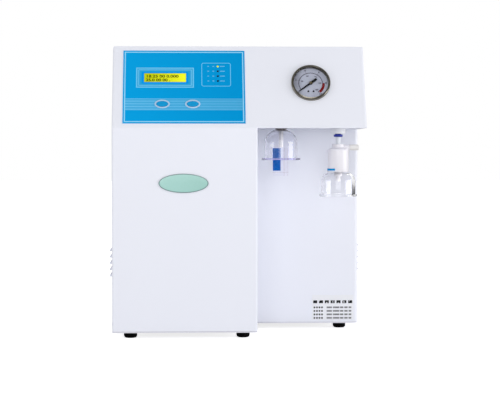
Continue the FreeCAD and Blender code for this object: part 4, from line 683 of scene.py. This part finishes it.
def pointer():
    """The black blade, square at its tail and narrowing twice on its way to the scale, and the bronze hub on it."""
    tail, width, thickness, height = 11, 3.6, 0.8, 1.7
    blade = begin("pointer_blade", bpy.ops.mesh.primitive_cube_add, size=1,
                  location=(-tail / 2 * MM, 0, height * MM), scale=(tail * MM, width * MM, thickness * MM))
    for reach, taper in ((4, 0.8), (19, 0.62)):
        choose_faces(blade, (1, 0, 0))
        bpy.ops.mesh.extrude_region_move(TRANSFORM_OT_translate={"value": (reach * MM, 0, 0)})
        bpy.ops.transform.resize(value=(1, taper, 1), center_override=(0, 0, 0))
    fit(close(blade), black_enamel, GAUGE @ turn(dial_start, "Z"), "pointer", slot="pointer_black")
    hub = lathe("pointer_hub", [(2.5, 2.0), (2.5, 2.5), (1.7, 2.5), (1.7, 2.9), (0.9, 3.1)], sides=32)
    fit(close(hub, 0.12), hub_bronze, GAUGE, "pointer", slot="brass")


def dial_furniture():
    """The two screw heads on the dial, and the figures of its outer and inner scales."""
    head = lathe("dial_screw", [(1.6, -0.5), (1.6, -0.1), (1.2, 0.25), (0.5, 0.4)], sides=24)
    fit_copies(close(head), black_enamel, {f"dial_screw_{side}": GAUGE @ shift(x, -14, 0)
                                           for side, x in (("left", -4.1), ("right", 4.1))}, slot="pointer_black")
    for i in range(dial_steps + 1):
        angle = math.radians(dial_start - dial_sweep / dial_steps * i)
        for scale, step, size, reach in (("outer", 2, 4.9, 24.3), ("inner", 30, 3.9, 14.2)):
            place = GAUGE @ shift(reach * math.cos(angle), reach * math.sin(angle), -0.45)
            figures(f"{scale}_figure_{i + 1}", str(i * step), size, place, dial_ink, weight=0.12)


# ---------------------------------------------------------------- outlets

def bell(name, bore, radius, flange_radius, height, shoulder):
    """A clear splash guard hanging from z = 0: a round shoulder, a straight skirt and a flanged rim."""
    wall, rim, soft = 1.6, 3.3, 0.5
    inside = radius - shoulder
    return close(lathe(name, [(bore, -wall), (bore, 0)] + arc(inside, -shoulder, shoulder, 90, 0, 20) + [
        (radius, rim - height), (flange_radius - soft, rim - height), (flange_radius, rim - height - soft),
        (flange_radius, soft - height), (flange_radius - soft, -height), (radius - wall, -height)]
        + arc(inside, -shoulder, shoulder - wall, 0, 90, 20), closed=True), angle=50)


def left_outlet():
    """The violet bell under its nut, and the satin nozzle inside it."""
    nut_height = 1.8
    fit(bell("left_bell", 4.05, 26, 31, 48.7, 21), bell_violet, NOZZLE @ shift(0, 0, -nut_height),
        stands_for=("nozzle_bell",), slot="bell_clear")
    tip = lathe("nozzle_turning", [
        (2, -30), (3.2, -30), (3.65, -29.4), (3.65, -4.9), (5, -4.9), (5, -3.4), (4, -3.4), (4, 13.5), (2, 13.5),
    ], closed=True)
    fit(close(tip, 0.15), nozzle_steel, NOZZLE, stands_for=("outlet_nozzle",), slot="nozzle_steel")


def right_outlet():
    """From the head down: fitting, collet, tube, milky capsule with its vent, and the second bell."""
    fitting = lathe("push_fitting", [
        (5.25, -8.4), (10.6, -8.4), (11.75, -7.4), (11.75, -1.0), (11.2, 0), (7, 0), (7, 22), (3.225, 22),
        (3.225, 11), (2.2, 11), (2.2, 0.2), (4.05, 0.2), (4.05, -3.8), (5.25, -3.8),
    ], closed=True)
    fit(close(fitting, 0.2), white_plastic, FILTER, stands_for=("outlet_fitting",), slot="fitting_white")
    collet = lathe("collet_ring", [
        (4.05, -13.45), (6.2, -13.45), (7.25, -12.6), (7.25, -10.1), (6.8, -9.65), (5.2, -9.65), (5.2, -5.05),
        (4.05, -5.05),
    ], closed=True)
    fit(close(collet, 0.15), collet_blue, FILTER, "collet", ("outlet_collet",), "collet_blue")
    tube = lathe("capsule_tube", [(2.6, -31), (4, -31), (4, 0.2), (2.6, 0.2)], closed=True)
    fit(close(tube), tube_white, FILTER, stands_for=("outlet_tube",), slot="tube_white")
    shell = lathe("capsule_moulding", [(4.05, 45), (9.0, 45), (9.5, 44.5), (9.5, 40), (13, 38.1)]
                  + arc(13.6, 34.6, 3.4, 70, 0, 8) + arc(16, 1, 1, 0, -90, 4) + [
        (6.5, 0), (6.5, -6), (3.5, -6), (3.5, -12), (3.8, -12.2), (3.5, -15), (2, -15), (2, 1.6), (13, 1.6),
        (15.4, 4), (15.4, 34.4), (7.9, 37.4), (2, 37.4), (2, 39), (4.05, 39)], closed=True)
    fit(close(shell), capsule_shell, CAPSULE, stands_for=("filter_capsule",), slot="capsule_white")
    vent_drop = 30.3
    vent = FILTER @ shift(0, 0, -vent_drop) @ turn(90, "Y")
    boss = lathe("vent_boss", [(4.75, 7.6), (4.75, 18), (2.8, 18), (2.8, 26)], sides=48)
    fit(close(boss, 0.2), capsule_shell, vent, slot="capsule_white")
    cap = lathe("vent_cap_moulding", [
        (2.85, 26.3), (2.85, 18.3), (4.3, 18.3), (4.75, 18.7), (4.75, 31.5), (4.2, 32.6), (2.6, 33)], sides=48)
    fit(close(cap), beige_plastic, vent, "vent_cap", ("vent_cap",), "cap_beige")
    fit(bell("right_bell", 6.55, 27.5, 29.8, 38.5, 14.5), bell_clear, CAPSULE,
        stands_for=("filter_bell",), slot="bell_clear")


# ---------------------------------------------------------------- badge and feet

def badge():
    """The oval badge: a border plate with a low enamel dome on it."""
    face = shift(badge_centre.x, front, badge_centre.z) @ turn(90, "X")
    rim = ellipse("badge_border_plate", 39, 15, 0)
    grow(1.2)
    grow(0.25, (0.985, 0.97), 1.45)
    fit(close(rim), badge_rim, face, stands_for=("oval_badge",), slot="badge_green")
    dome = ellipse("badge_dome", 37.5, 13.7, 1.3)
    for rise, share, height in ((0.16, 1, 1.46), (0.1, 0.97, 1.56), (0.04, 0.8, 1.6)):
        grow(rise, (share, share), height)
    fit(close(dome), badge_face, face, slot="badge_green")


def feet():
    """Five rubber feet: two under the front of the column, one under the bay's front and two at the back."""
    foot = lathe("foot", [(2.2, 4), (3.8, 4), (3.8, 0)] + arc(6.2, 4.4, 4.4, -90, 0, 8) + [(10.6, 10), (2.2, 10)],
                 closed=True, sides=48)
    near, far = front + foot_inset, back - foot_inset
    spots = ((-corner_foot, near), (middle_foot, near), (corner_foot, front + bay_foot), (-corner_foot, far),
             (corner_foot, far))
    fit_copies(close(foot), foot_rubber, {f"foot_{i + 1}": shift(x, y, 0) for i, (x, y) in enumerate(spots)},
               stands_for=("rubber_feet",), slot="foot_rubber")


keys()
key_rings()
lights()
display_digits()
gauge_ring()
pointer()
dial_furniture()
left_outlet()
right_outlet()
badge()
feet()


# ---------------------------------------------------------------- studio

def floor():
    """A white floor that keeps the shadow and reads as plain white to the camera; in reflections it is painted dark
    grey, a painted dark reflection.
    """
    paper = Finish("studio floor", Roughness=0.8, Specular_IOR_Level=0.1, Emission_Strength=0.78)
    seen = paper.node("ShaderNodeLightPath", {}, {}, "Is Camera Ray")
    mirrored = paper.node("ShaderNodeLightPath", {}, {}, "Is Glossy Ray")
    white = paper.mix(paper.noise(3), rgb(245, 245, 247), rgb(247, 247, 249))
    # To glossy rays the floor is painted dark grey: a painted reflection, so the metal mirrors a dark floor.
    paper.set(Base_Color=paper.mix(mirrored * (1 - seen), white, rgb(60, 60, 62)),
              Emission_Color=paper.mix(seen, (0, 0, 0, 1), (1, 1, 1, 1)))
    bpy.ops.object.select_all(action="DESELECT")
    bpy.ops.mesh.primitive_plane_add(size=30)
    ground = bpy.context.active_object
    ground.name = "studio_floor"
    ground.data.materials.append(paper.material)


def surroundings():
    """An even white room: plain white behind the machine and through clear parts, dim in reflections."""
    world = bpy.data.worlds.new("Studio")
    bpy.context.scene.world = world
    world.use_nodes = True
    nodes, links = world.node_tree.nodes, world.node_tree.links
    path, level = nodes.new("ShaderNodeLightPath"), nodes.new("ShaderNodeValue")
    level.outputs[0].default_value = 0.6
    seen = level.outputs[0]
    for ray, brightness in (("Is Glossy Ray", 0.3), ("Is Transmission Ray", 1.0), ("Is Camera Ray", 1.0)):
        step = nodes.new("ShaderNodeMix")
        step.inputs["B"].default_value = brightness
        links.new(path.outputs[ray], step.inputs["Factor"])
        links.new(seen, step.inputs["A"])
        seen = step.outputs["Result"]
    links.new(seen, nodes["Background"].inputs["Strength"])
    nodes["Background"].inputs["Color"].default_value = (1, 1, 1, 1)


def lamp(name, place, width, height, power):
    """A soft rectangular lamp that faces the machine's middle."""
    bpy.ops.object.light_add(type="AREA", location=place)
    made = bpy.context.active_object
    made.name = name
    made.data.shape = "RECTANGLE"
    made.data.size, made.data.size_y, made.data.energy = width, height, power
    made.rotation_mode = "QUATERNION"
    made.rotation_quaternion = (Vector(place) - Vector((0, 0, 0.25))).to_track_quat("Z", "Y")


def camera():
    """A long lens a little left of the middle, that looks slightly right and down."""
    yaw, pitch = 0.0406, 0.0279
    sideways, distance, height = -0.0864, 2.5189, 0.2885
    bpy.ops.object.camera_add(location=(sideways, front * MM - distance, height))
    made = bpy.context.active_object
    ahead = Vector((math.sin(yaw) * math.cos(pitch), math.cos(yaw) * math.cos(pitch), -math.sin(pitch)))
    made.rotation_mode = "QUATERNION"
    made.rotation_quaternion = ahead.to_track_quat("-Z", "Y")
    made.data.lens, made.data.sensor_width = 116.0, 36.0
    made.data.clip_start, made.data.clip_end = 0.05, 60
    bpy.context.scene.camera = made


floor()
surroundings()
lamp("front light", (-0.1, -3.3, 1.0), 2.0, 1.6, 24.3)
lamp("right softbox", (2.3, -0.85, 0.4), 1.7, 0.75, 20)
lamp("left softbox", (-2.2, -1.3, 0.6), 0.6, 1.5, 6)
lamp("back light", (0.5, 3.2, 1.7), 2.0, 1.6, 14)
camera()
bpy.context.scene.view_settings.view_transform = "Standard"
